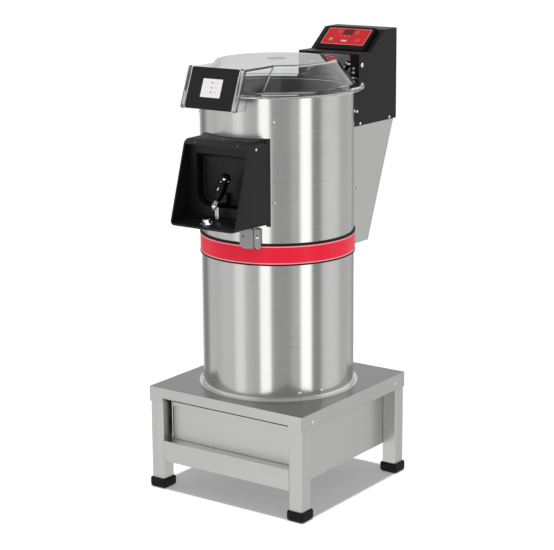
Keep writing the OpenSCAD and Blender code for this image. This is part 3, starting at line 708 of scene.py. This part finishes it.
def rounded_outline(width: float, height: float, radius: float, steps: int = 6) -> list[Point2]:
    """The outline of a centred rectangle with round corners, anticlockwise."""
    points = []
    for sx, sy, start in ((1, -1, -90), (1, 1, 0), (-1, 1, 90), (-1, -1, 180)):
        for i in range(steps + 1):
            a = radians(start + 90.0 * i / steps)
            x, y = sx * (width / 2 - radius), sy * (height / 2 - radius)
            points.append((x + radius * cos(a), y + radius * sin(a)))
    return points


def spandrel(radius: float, steps: int = 10, spare: float = 0.006) -> list[Point2]:
    """What a round corner leaves off a square one, measured inward from the two faces."""
    turns = [pi / 2 * i / steps for i in range(steps + 1)]
    arc = [(radius * (1.0 - sin(a)), radius * (1.0 - cos(a))) for a in turns]
    return [(-spare, -spare), (radius, -spare), *arc, (-spare, radius)]


def facing(origin: Vector, right: Vector, up: Vector) -> Matrix:
    """A frame at origin with X along right, Y along up, and Z out of the face."""
    matrix = Matrix((right, up, right.cross(up))).transposed().to_4x4()
    matrix.translation = origin
    return matrix


def middle(node: str) -> Vector:
    """The middle of a CAD node's box."""
    low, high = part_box(node)
    return (low + high) / 2


def drum_axis(z: float = 0.0) -> Vector:
    """A point on the drums' axis."""
    centre = middle("joint_band")
    return Vector((centre.x, centre.y, z))


def modify(target: Object, kind: str, **settings: Any) -> None:
    """Adds one modifier."""
    configure(target.modifiers.new(kind.lower(), kind), settings)


def join_points(target: Object) -> None:
    """Joins the points that the faces of a CAD node share."""
    modify(target, "WELD", merge_threshold=SAME_POINT)


def soften(target: Object, width: float) -> None:
    """Breaks the sharp edges of an object so that they catch the light; its own mesh stays as it is.

    Args:
        target: the object.
        width: width of the broken edge in metres.
    """
    join_points(target)
    modify(target, "DECIMATE", decimate_type="DISSOLVE", angle_limit=radians(FLAT_DEG))
    modify(
        target, "BEVEL", width=width, segments=2, limit_method="ANGLE",
        angle_limit=radians(SHARP_DEG), use_clamp_overlap=True, harden_normals=True,
    )


def carved(name: str, source: Object, tools: Form, body: str, finish: Finish) -> Object:
    """Copies a CAD node and cuts a form out of the copy.

    Args:
        name: the new piece's name.
        source: the node's object, which stays as it is.
        tools: the form to cut away.
        body: the body that carries the piece.
        finish: its finish.

    Returns:
        The piece.
    """
    cutter = placed(f"{name}_tools", tools.data(f"{name}_tools"))
    blank = placed(f"{name}_blank", source.data.copy())
    blank.matrix_world = source.matrix_world
    join_points(blank)
    modify(blank, "BOOLEAN", operation="DIFFERENCE", solver="EXACT", object=cutter)
    done = blank.evaluated_get(bpy.context.evaluated_depsgraph_get())
    form = Form()
    form.mesh.from_mesh(done.to_mesh())
    form.mesh.transform(source.matrix_world)
    done.to_mesh_clear()
    for item in (cutter, blank):
        mesh = item.data
        bpy.data.objects.remove(item)
        bpy.data.meshes.remove(mesh)
    return form.piece(name, body, finish)


# ---- Sub-assemblies ----


Coats = Sequence[tuple[Finish, str]]


@dataclass
class SubAssembly:
    """A part of the machine: it dresses its CAD nodes and builds the small pieces on them.

    Edges are the widths in millimetres of the broken edges of the nodes that have them.
    """

    edges: ClassVar[Mapping[str, float]] = {}

    def finishes(self) -> Coats:
        """The finishes, each with the names of the CAD nodes that have it."""
        raise NotImplementedError

    def dress(self) -> None:
        """Gives each CAD node its finish and its edges."""
        for finish, nodes in self.finishes():
            for node in nodes.split():
                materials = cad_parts[node].data.materials
                materials.clear()
                materials.append(finish.material())
                LOG.info("dressed %s in %s", node, finish.name)
        for node, width in self.edges.items():
            soften(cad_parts[node], width * MM)
            LOG.info("broke the edges of %s by %.1f mm", node, width)

    def build(self) -> None:
        """Builds the pieces that the CAD nodes don't have."""


def reflect(level: float) -> tuple[tuple[str, float], ...]:
    """The constant that sets how much a surface mirrors."""
    return (("Specular IOR Level", level),)


def black(
    name: str, slot: str, tone: float, roughness: float, mirrored: float, blue: float = 0.0, **grain: float
) -> Moulding:
    """A black moulding, blue being what its blue has above its tone."""
    colour = (tone, tone, tone + blue)
    return Moulding(name, slot, colour, roughness, constants=reflect(mirrored), **grain)


STEEL: Colour = (0.56, 0.56, 0.555)
CHROME = BrightMetal("bright_metal", "bright_metal", (0.78, 0.78, 0.79), 0.16, 1.0)
PLATED = BrightMetal("plated_steel", "bright_metal", (0.50, 0.50, 0.50), 0.3, 1.0)
PLATE = BrightMetal("cut_plate", "zinc_steel", (0.30, 0.30, 0.30), 0.42, 1.0, pitch=0.003)
BLACK = black("black_moulding", "black_moulding", 0.0062, 0.42, 0.3, 0.0003)
GLOSS = black("black_gloss", "black_gloss", 0.002, 0.08, 0.16, pitch=0.004, depth=0.000005)
BEZEL = black("black_bezel", "black_gloss", 0.003, 0.3, 0.16, pitch=0.003, depth=0.00001)
RUBBER = black("black_rubber", "black_rubber", 0.005, 0.6, 0.16, pitch=0.002, depth=0.0001)
ACROSS = BrushedSteel("sheet_across", "stainless", STEEL, 0.34, 1.0, grain=Grain.ACROSS)
DEEP = BrushedSteel("sheet_deep", "stainless", STEEL, 0.34, 1.0, grain=Grain.DEEP)
UPRIGHT = BrushedSteel("tube_upright", "stainless", STEEL, 0.34, 1.0, grain=Grain.UPRIGHT)


@dataclass
class Stand(SubAssembly):
    """Square stand with its drawer."""

    edges = {"stand_top": 1.0, "front_rail": 0.7, "drawer_front": 0.4, "feet": 1.2, "legs": 0.5}

    face_depth: float = 0.0002

    def finishes(self) -> Coats:
        """Brushed sheet and tube, bright screws, rubber feet. The sheet's upper face has painted shade: its
        colour is darker there.
        """
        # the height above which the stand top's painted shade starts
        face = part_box("stand_top")[1].z - self.face_depth
        return [
            # stand top sheet with painted shade on its upper face
            (BrushedSteel("sheet_top_painted_shade", "stainless", STEEL, 0.24, 1.0, painted_shade_above=face), "stand_top"),
            (ACROSS, "front_rail drawer_front drawer_basket"),
            (DEEP, "box_side_left box_side_right box_floor"),
            (UPRIGHT, "legs"),
            (RUBBER, "feet"),
            (CHROME, "stand_screws"),
        ]


@dataclass
class Drums(SubAssembly):
    """Lower and upper drum, the band over their joint and the clamp.

    A lip is the start and end of a dark strip, from the band's edge upward.
    """

    stripe: float = 0.0021
    stripe_inset: float = 0.0035
    stripe_proud: float = 0.0003
    upper_lip: Point2 = (-0.0016, 0.0032)
    lower_lip: Point2 = (-0.0012, 0.0022)
    lip_sunk: float = 0.0012
    lip_proud: float = 0.002
    bolt_angles: tuple[float, ...] = (33.0, 123.0, 213.0, 303.0)
    bolt_heights: Point2 = (0.799, 1.001)
    bolt_steps: int = 24
    lining_radius: float = 0.1935
    bolt_head: tuple[Point2, ...] = (
        (0.0, 0.0), (0.0095, 0.0), (0.0095, 0.0012), (0.0068, 0.0014), (0.006, 0.0032), (0.0035, 0.0046),
        (0.0, 0.005),
    )

    def finishes(self) -> Coats:
        """Drum sheet with a round grain, and the band's film."""
        streaked = (("Anisotropic", 0.6), ("Anisotropic Rotation", 0.25))
        shell = BrushedSteel(
            "drum_sheet", "stainless", STEEL, 0.16, 1.0, streaked, Grain.ROUND, drum_axis()[:2],
            depth=0.000012,
        )
        film = Moulding(
            "band_film", "band_film", (0.95, 0.010, 0.045), 0.3, 0.0, reflect(0.25),
            pitch=0.01, depth=0.00001, mottle=0.06,
        )
        return [
            (shell, "lower_drum upper_drum"),
            (film, "joint_band"),
            (RUBBER, "rim_seal"),
            (PLATE, "drum_clamp"),
            (CHROME, "drum_screws"),
        ]

    def build(self) -> None:
        """Dark lips along the band's edges, pale pinstripes on its face, and the lining's bolts."""
        low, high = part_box("joint_band")
        radius = (high.x - low.x) / 2
        lips = Form()
        for edge, (start, end) in ((high.z, self.upper_lip), (low.z, self.lower_lip)):
            self._hoop(lips, radius - self.lip_sunk, edge + start, end - start, self.lip_proud)
        lips.piece("band_lips", "stand", RUBBER)
        stripes = Form()
        for z in (low.z + self.stripe_inset, high.z - self.stripe_inset - self.stripe):
            self._hoop(stripes, radius, z, self.stripe, self.stripe_proud)
        pale = Moulding("pale_stripe", "band_film", (0.80, 0.55, 0.58), 0.3)
        stripes.piece("band_pinstripes", "stand", pale)
        heads = Form()
        for degrees, z in product(self.bolt_angles, self.bolt_heights):
            a = radians(degrees)
            outward = Vector((sin(a), -cos(a), 0.0))
            seat = drum_axis(z) + outward * self.lining_radius
            heads.revolve(self.bolt_head, facing(seat, outward.cross(UP_Z), UP_Z), self.bolt_steps)
        heads.piece("lining_bolt_heads", "stand", CHROME)

    @staticmethod
    def _hoop(form: Form, radius: float, low: float, height: float, proud: float) -> None:
        """Adds a thin hoop that stands proud of a drum, and as far inside it."""
        inner, outer, high = radius - proud, radius + proud, low + height
        section = [(inner, low), (outer, low), (outer, high), (inner, high)]
        form.revolve(section, Matrix.Translation(drum_axis()))


@dataclass
class Drive(SubAssembly):
    """Motor, belt, bearings, shaft, abrasive plate and lining."""

    def finishes(self) -> Coats:
        """Castings, enamel, ground shafts and grit."""
        cast = Moulding("cast_metal", "cast_metal", (0.16, 0.165, 0.17), 0.6, 0.6, pitch=0.004, depth=0.0003)
        paint = Moulding("motor_paint", "motor_paint", (0.07, 0.09, 0.11), 0.4, pitch=0.003, depth=0.0001)
        return [
            (BrushedSteel("floor_sheet", "stainless", STEEL, 0.35, 1.0), "chamber_floor"),
            (cast, "bearing_housing motor_pulley driven_pulley"),
            (CHROME, "bearings motor_shaft main_shaft plate_nut"),
            (RUBBER, "shaft_seal drive_belt"),
            (PLATE, "motor_plate"),
            (paint, "motor_body"),
            (Grit("abrasive", "abrasive", (0.10, 0.10, 0.095), 0.85), "abrasive_plate abrasive_liner"),
        ]


@dataclass
class Services(SubAssembly):
    """Water, drain, cable entry and the duct behind the drum."""

    def finishes(self) -> Coats:
        """Sheet for the duct and pipe, turned metal for the stub."""
        brass = BrightMetal("yellow_metal", "yellow_metal", (0.62, 0.46, 0.20), 0.28, 1.0)
        return [(UPRIGHT, "drain_pipe rear_duct"), (brass, "water_inlet"), (BLACK, "cable_gland")]


@dataclass
class Chute(SubAssembly):
    """Discharge chute with its door, keeper and lever.

    A line is the outer edge of the hood's roof or foot: two points (y, z), y from the drum's axis.
    """

    edges = {"door_frame": 1.5, "door_panel": 1.2, "door_keeper": 0.6, "lever_arm": 0.6}

    roof_line: tuple[Point2, Point2] = ((-0.256, 0.958), (-0.120, 0.960))
    foot_line: tuple[Point2, Point2] = ((-0.322, 0.745), (-0.120, 0.738))
    roof_round: float = 0.016
    foot_round: float = 0.013
    round_span: Point2 = (-0.335, -0.187)
    hood_edge: float = 0.0018
    shaded_half: float = 0.09

    def finishes(self) -> Coats:
        """Black mouldings, bright lever and a glossy grip."""
        # the chute's screws get painted shade near the middle plane
        screws = BrightMetal(
            "chute_screw", "bright_metal", CHROME.colour, CHROME.roughness, 1.0, painted_shade_within=self.shaded_half
        )
        return [
            (BLACK, "chute_hood door_frame door_panel"),
            (screws, "chute_screws"),
            (CHROME, "door_keeper door_hinge_pin"),
            (RUBBER, "door_gasket"),
            (PLATED, "lever_bolt lever_arm"),
            (GLOSS, "lever_grip"),
        ]

    def build(self) -> None:
        """The hood with its four long corners rounded in front of the rim on the drum."""
        half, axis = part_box("chute_hood")[1].x, drum_axis().y
        front, rear = self.round_span
        roof, foot = (self.roof_line, self.roof_round, 1.0), (self.foot_line, self.foot_round, -1.0)
        corners = Form()
        for ((start, end), radius, upward), side in product((roof, foot), (-1.0, 1.0)):
            fall = (end[1] - start[1]) / (end[0] - start[0])
            at = Matrix((
                (-side, 0.0, 0.0, side * half),
                (0.0, 0.0, rear - front, axis + front),
                (0.0, -upward, fall * (rear - front), start[1] + fall * (front - start[0])),
                (0.0, 0.0, 0.0, 1.0),
            ))
            corners.prism(spandrel(radius), 0.0, 1.0, at)
        hood = carved("hood_body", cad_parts["chute_hood"], corners, "stand", BLACK)
        soften(hood, self.hood_edge)
        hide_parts("chute_hood")


@dataclass
class Lid(SubAssembly):
    """Clear lid with its hood, black front plate and hinge.

    A span is the back and front of a plate, out from the middle of the CAD's. The dome is its radius at
    the foot and at the top, and the ends are how far the beads stop above the rim and below the top.
    """

    edges = {"lid_hinge_arms": 0.5}

    slope_deg: float = 21.5
    corner: float = 0.004
    plate_size: Point2 = (0.145, 0.105)
    plate_span: Point2 = (-0.005, 0.0035)
    plate_edge: float = 0.0015
    card_size: Point2 = (0.060, 0.047)
    card_corner: float = 0.001
    card_thick: float = 0.0006
    card_gap: float = 0.0001
    ear_size: Point2 = (0.012, 0.109)
    ear_span: Point2 = (-0.0048, 0.0045)
    ear_edge: float = 0.002
    hood_half: float = 0.085
    dome: Point2 = (0.198, 0.160)
    bead: float = 0.0022
    bead_ends: Point2 = (0.009, 0.005)
    bead_steps: int = 24
    bead_crease: float = 60.0
    skirt: Point2 = (0.2205, 0.2275)
    skirt_height: float = 0.0075
    skirt_lap: float = 0.0004
    skirt_round: float = 0.002
    mark_radius: float = 0.0195
    mark_steps: int = 64
    mark_thick: float = 0.0003
    mark_sunk: float = 0.0007

    def clear(self, name: str = "clear_moulding", roughness: float = 0.0, tone: float = 0.8) -> Finish:
        """The lid's clear plastic; its cut edges are a little rougher, and tone is the painted shade on its
        sides.
        """
        clear = (("Transmission Weight", 1.0), ("IOR", 1.47))
        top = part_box("lid_shell")[1].z
        return ClearMoulding(name, "clear_moulding", (0.98, 0.985, 0.985), roughness, 0.0, clear, top, tone)

    def finishes(self) -> Coats:
        """Clear plastic and bright hinge parts."""
        return [
            (self.clear(), "lid_shell"),
            (BLACK, "lid_front_plate"),
            (CHROME, "lid_hinge_arms lid_hinge_rod lid_switch"),
        ]

    def build(self) -> None:
        """The front plate with its card, and the rims, beads and mark of the clear moulding."""
        slope = radians(self.slope_deg)
        self._front(Face(middle("lid_front_plate"), ACROSS_X, Vector((0.0, sin(slope), cos(slope)))))
        self._skirt()
        self._beads()
        profile = [(0.0, 0.0), (self.mark_radius, 0.0), (self.mark_radius, self.mark_thick)]
        at = Matrix.Translation(drum_axis(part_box("lid_shell")[1].z - self.mark_sunk))
        mark = Form().revolve([*profile, (0.0, self.mark_thick)], at, self.mark_steps)
        mark.piece("lid_gate_mark", "lid", Moulding("gate_mark", "clear_moulding", (0.42, 0.42, 0.42), 0.5))

    def _front(self, face: Face) -> None:
        """Builds the black plate, the card on it and the clear ears beside it.

        Args:
            face: the middle of the plate, its direction across and its direction up its slope.
        """
        plate = Form().prism(rounded_outline(*self.plate_size, self.corner), *self.plate_span, face.frame())
        tint = black("front_black", "black_moulding", 0.0032, 0.42, 0.22, 0.0002)
        front = plate.piece("front_plate", "lid", tint)
        soften(front, self.plate_edge)
        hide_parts("lid_front_plate")
        outline, low = rounded_outline(*self.card_size, self.card_corner), self.plate_span[1] + self.card_gap
        card = Form().prism(outline, low, low + self.card_thick, face.frame())
        paper = PrintedCard("printed_card", "keypad_film", (0.88, 0.88, 0.88), 0.45, face=face)
        card.piece("lid_card", "lid", paper)
        ears = Form()
        for side in (-1.0, 1.0):
            at = face.frame(side * (self.hood_half - self.ear_size[0] / 2))
            ears.prism(rounded_outline(*self.ear_size, self.corner), *self.ear_span, at)
        soften(ears.piece("lid_ears", "lid", self.clear("clear_edge", 0.16, 0.95)), self.ear_edge)

    def _skirt(self) -> None:
        """Builds the rolled rim under the flange's edge."""
        inner, outer = self.skirt
        off = self.skirt_round
        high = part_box("rim_seal")[1].z + self.skirt_lap
        low = high - self.skirt_height
        section = [(inner, high), (inner, low + off), (inner + off, low)]
        section += [(outer - off, low), (outer, low + off), (outer, high)]
        rim = Form().revolve(section, Matrix.Translation(drum_axis()))
        rim.piece("lid_rolled_rim", "lid", self.clear())

    def _beads(self) -> None:
        """Builds the beads where the hood's sides run into the dome."""
        foot, top = self.dome
        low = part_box("rim_seal")[1].z + self.bead_ends[0]
        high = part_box("lid_shell")[1].z - self.bead_ends[1]
        beads = Form()
        for side in (-1.0, 1.0):
            x = side * (self.hood_half + self.bead)
            path = []
            for i in range(self.bead_steps + 1):
                t = i / self.bead_steps
                radius = foot + (top - foot) * t + self.bead
                path.append(Vector((x, drum_axis().y - sqrt(radius**2 - x**2), low + (high - low) * t)))
            beads.sweep(path, ACROSS_X, self.bead)
        beads.piece("lid_hood_beads", "lid", self.clear(), self.bead_crease)


@dataclass
class Controls(SubAssembly):
    """Rear housing with the keypad, display and keys."""

    edges = {"housing_shell": 1.2, "control_bezel": 1.0}

    slope_deg: float = 38.0

    def face_at(self, node: str) -> Face:
        """The printed face round the middle of a node on the sloping panel."""
        slope = radians(self.slope_deg)
        return Face(middle(node), ACROSS_X, Vector((0.0, cos(slope), sin(slope))))

    def finishes(self) -> Coats:
        """Black housing, glossy bezel, printed film and dark window."""
        film = dict(slot="keypad_film", colour=RED_FILM, roughness=0.32, constants=reflect(0.16))
        window = DisplayWindow(
            "dark_window", "dark_window", (0.045, 0.004, 0.005), 0.12, face=self.face_at("display_window")
        )
        shell = black("housing_black", "black_moulding", 0.0048, 0.42, 0.22, 0.0002)
        return [
            (shell, "housing_shell"),
            (BrushedSteel("shaded_sheet", "stainless", (0.27,) * 3, 0.34, 1.0), "housing_front_plate"),
            (CHROME, "housing_screws"),
            (BEZEL, "control_bezel"),
            (KeypadFilm("keypad_film", face=self.face_at("control_overlay"), **film), "control_overlay"),
            (window, "display_window"),
            (Moulding("board_green", "board_green", (0.02, 0.10, 0.04), 0.4), "control_board"),
            *(
                (KeyFilm(f"{mark.value}_film", mark=mark, face=self.face_at(mark.value), **film), mark.value)
                for mark in Mark
            ),
        ]


# ---- Studio ----


@dataclass(frozen=True)
class Strip:
    """A strip of light or shade that the metal mirrors; headings are degrees to the camera's right."""

    heading: float
    half: float
    level: float
    soft: float = 5.0


@dataclass(frozen=True)
class Glint:
    """A small lamp for the named nodes alone; its way is to the camera's right, upward and back."""

    nodes: tuple[str, ...]
    way: tuple[float, float, float]
    distance: float
    size: float
    energy: float


def group(name: str, items: Iterable[Object]) -> Collection:
    """A collection that says which objects a lamp lights, or which ones throw its shadow."""
    collection = bpy.data.collections.new(name)
    for item in items:
        collection.objects.link(item)
    return collection


def lamp(name: str, kind: str, energy: float, **settings: Any) -> Object:
    """Adds a lamp; the settings are its light's other properties."""
    return placed(name, configure(bpy.data.lights.new(name, kind), {"energy": energy, **settings}))


@dataclass
class Studio:
    """Camera, white floor, lamps, and the strips that polished metal mirrors.

    The camera looks at aim from a distance: heading is its turn from the front, height and roll are its
    rise and tilt, all in degrees. A horizon or a fade is the start and end of a blend by a ray's height.
    """

    heading: float = 35.46
    height: float = 13.45
    distance: float = 4.577
    roll: float = -0.38
    lens: float = 112.486
    aim: tuple[float, float, float] = (0.0, -0.054, 0.56546)
    centre_px: float = 0.93
    floor_half: float = 30.0
    floor_tone: float = 0.2
    floor_glow: float = 0.275
    sun_energy: float = 10.5
    sun_spread_deg: float = 2.6
    soft_size: float = 2.4
    soft_energy: float = 14.0
    soft_place: tuple[float, float, float] = (-0.3, -0.6, 3.4)
    ambient: float = 0.85
    mirror: float = 0.66
    horizon: Point2 = (0.04, 0.2)
    sky: Point2 = (0.9, 0.4)
    sky_fade: Point2 = (0.4, 0.8)
    strips: tuple[Strip, ...] = (
        Strip(-144.0, 10.0, -0.34, 7.0),
        Strip(-116.0, 8.0, 0.09, 6.0),
        Strip(-72.0, 26.0, 0.16, 12.0),
        Strip(-60.0, 6.0, 0.34, 6.0),
        Strip(-19.0, 8.0, 1.05, 2.0),
        Strip(6.0, 13.0, -0.18, 5.0),
        Strip(43.0, 8.5, 1.15, 2.5),
        Strip(60.0, 7.0, -0.26, 4.0),
        Strip(88.0, 13.0, 0.28, 10.0),
        Strip(168.0, 16.0, -0.26, 10.0),
    )
    sky_strips: tuple[Strip, ...] = (Strip(100.0, 30.0, 0.6, 16.0), Strip(-70.0, 30.0, 0.4, 16.0))
    glint_shape: float = 0.6
    glints: tuple[Glint, ...] = (
        Glint(("lever_grip",), (-0.2, -0.05, 1.0), 0.4, 0.3, 16.0),
        Glint(("lever_grip",), (-0.80, -0.50, 0.10), 0.06, 0.02, 0.03),
        Glint(("lever_grip",), (0.86, -0.46, 0.10), 0.06, 0.02, 0.03),
        Glint(("door_keeper", "lever_bolt", "lever_arm"), (-0.45, 0.05, 0.9), 0.5, 0.3, 1.3),
    )

    def viewpoint(self) -> tuple[Vector, Vector, Vector]:
        """The directions to the camera's right, up and back, before its roll."""
        a, e = radians(self.heading), radians(self.height)
        back = Vector((sin(a) * cos(e), -cos(a) * cos(e), sin(e)))
        right = Vector((cos(a), sin(a), 0.0))
        return right, back.cross(right), back

    def camera(self) -> None:
        """The photograph's viewpoint."""
        right, up, back = self.viewpoint()
        r = radians(self.roll)
        right, up = right * cos(r) + up * sin(r), up * cos(r) - right * sin(r)
        data = bpy.data.cameras.new("camera")
        data.lens = self.lens
        data.shift_x = -self.centre_px / PHOTO_WIDTH
        data.clip_end = 100.0
        camera = placed("camera", data)
        camera.matrix_world = facing(Vector(self.aim) + back * self.distance, right, up)
        bpy.context.scene.camera = camera

    @staticmethod
    def sight(sheet: NodeSheet) -> tuple[Wire, Wire]:
        """Tells the ways in which a ray can arrive.

        Returns:
            1 where the camera looks straight or through the clear lid, and 1 where it looks by a mirror.
        """
        path = sheet.node("ShaderNodeLightPath")
        mirrored = Wire(sheet, path.outputs["Glossy Depth"]).above(0.5)
        through = Wire(sheet, path.outputs["Is Transmission Ray"]) * (1.0 - mirrored)
        return Wire(sheet, path.outputs["Is Camera Ray"]).most(through), mirrored

    def lay(self, sheet: NodeSheet, flat: Wire, strips: Sequence[Strip], level: Any) -> Any:
        """Adds strips of light and shade to a level.

        Args:
            sheet: the world's nodes.
            flat: the direction looked in, without its height.
            strips: the strips.
            level: what they are added to.

        Returns:
            The sum.
        """
        for strip in strips:
            a = radians(self.heading + strip.heading)
            near = sheet.dot(flat, (sin(a), -cos(a), 0.0))
            outer = cos(radians(strip.half + strip.soft))
            inner = cos(radians(max(strip.half - strip.soft, 0.0)))
            level = near.rise(outer, inner) * strip.level + level
        return level

    def world(self) -> None:
        """White behind the object; strips of light and shade for what metal mirrors."""
        world = bpy.data.worlds.new("studio")
        bpy.context.scene.world = world
        world.cycles.sampling_method = "NONE"
        sheet = NodeSheet(world)
        x, y, z = sheet.split(sheet.wire("ShaderNodeTexCoord", output="Generated"))
        flat = sheet.wire("ShaderNodeVectorMath", {"operation": "NORMALIZE"}, {0: sheet.join(x, y, 0.0)})
        walls = self.lay(sheet, flat, self.strips, self.mirror)
        low, high = self.sky
        sky = self.lay(sheet, flat, self.sky_strips, low + z.rise(*self.sky_fade) * (high - low))
        level = walls + (sky - walls) * z.rise(*self.horizon)
        seen, mirrored = self.sight(sheet)
        lit = self.ambient + (level - self.ambient) * mirrored
        values = {"Color": WHITE, "Strength": seen + lit * (1.0 - seen)}
        background = sheet.wire("ShaderNodeBackground", values=values)
        sheet.node("ShaderNodeOutputWorld", values={"Surface": background})

    def floor(self) -> Object:
        """White floor that keeps the object's shadow."""
        h = self.floor_half
        data = bpy.data.meshes.new("floor")
        data.from_pydata([(-h, -h, 0.0), (h, -h, 0.0), (h, h, 0.0), (-h, h, 0.0)], [], [(0, 1, 2, 3)])
        floor = placed("floor", data)
        material = bpy.data.materials.new("floor_white")
        sheet = NodeSheet(material)
        seen, _ = self.sight(sheet)
        diffuse = sheet.wire("ShaderNodeBsdfDiffuse", values={"Color": (self.floor_tone,) * 3})
        glow = sheet.wire("ShaderNodeEmission", values={"Color": WHITE, "Strength": seen * self.floor_glow})
        both = sheet.wire("ShaderNodeAddShader", values={0: diffuse, 1: glow})
        sheet.node("ShaderNodeOutputMaterial", values={"Surface": both})
        data.materials.append(material)
        floor.visible_glossy = False
        return floor

    def lamps(self, floor: Object) -> None:
        """A soft lamp over the object, and one above that throws the stand's shadow on the floor alone."""
        sun = lamp("floor_sun", "SUN", self.sun_energy, angle=radians(self.sun_spread_deg))
        blockers = ("stand_top", "legs", "feet", "front_rail", "box_floor")
        sun.light_linking.receiver_collection = group("floor_only", [floor])
        sun.light_linking.blocker_collection = group(
            "floor_blockers", [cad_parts[node] for node in blockers]
        )
        size = self.soft_size
        soft = lamp("top_lamp", "AREA", self.soft_energy, shape="RECTANGLE", size=size, size_y=size)
        soft.location = self.soft_place
        soft.visible_glossy = False

    def glint_lamps(self) -> None:
        """Small lamps that only the lever and its keeper mirror, placed by the photograph's viewpoint."""
        low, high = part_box("lever_grip")
        radius = (high.y - low.y) / 2
        ball = Vector((high.x - radius, (low.y + high.y) / 2, high.z - radius))
        for i, glint in enumerate(self.glints):
            ways = zip(self.viewpoint(), glint.way)
            toward = sum((way * share for way, share in ways), Vector()).normalized()
            item = lamp(
                f"glint_lamp_{i}", "AREA", glint.energy, shape="ELLIPSE", size=glint.size,
                size_y=glint.size * self.glint_shape, use_shadow=False,
            )
            item.rotation_euler = toward.to_track_quat("Z", "Y").to_euler()
            item.location = ball + toward * glint.distance
            item.visible_camera = False
            item.visible_diffuse = False
            nodes = [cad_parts[node] for node in glint.nodes]
            item.light_linking.receiver_collection = group(f"glint_{i}_only", nodes)

    def build(self) -> None:
        """Sets up the whole studio."""
        self.camera()
        self.world()
        self.lamps(self.floor())
        self.glint_lamps()


def main() -> None:
    """Builds and dresses the machine in its studio."""
    logging.basicConfig(level=logging.INFO, format="%(name)s %(message)s")
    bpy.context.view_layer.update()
    bpy.context.scene.view_settings.view_transform = "Standard"
    Studio().build()
    for assembly in (Stand(), Drums(), Drive(), Services(), Chute(), Lid(), Controls()):
        assembly.dress()
        assembly.build()


if __name__ == "__main__":
    main()
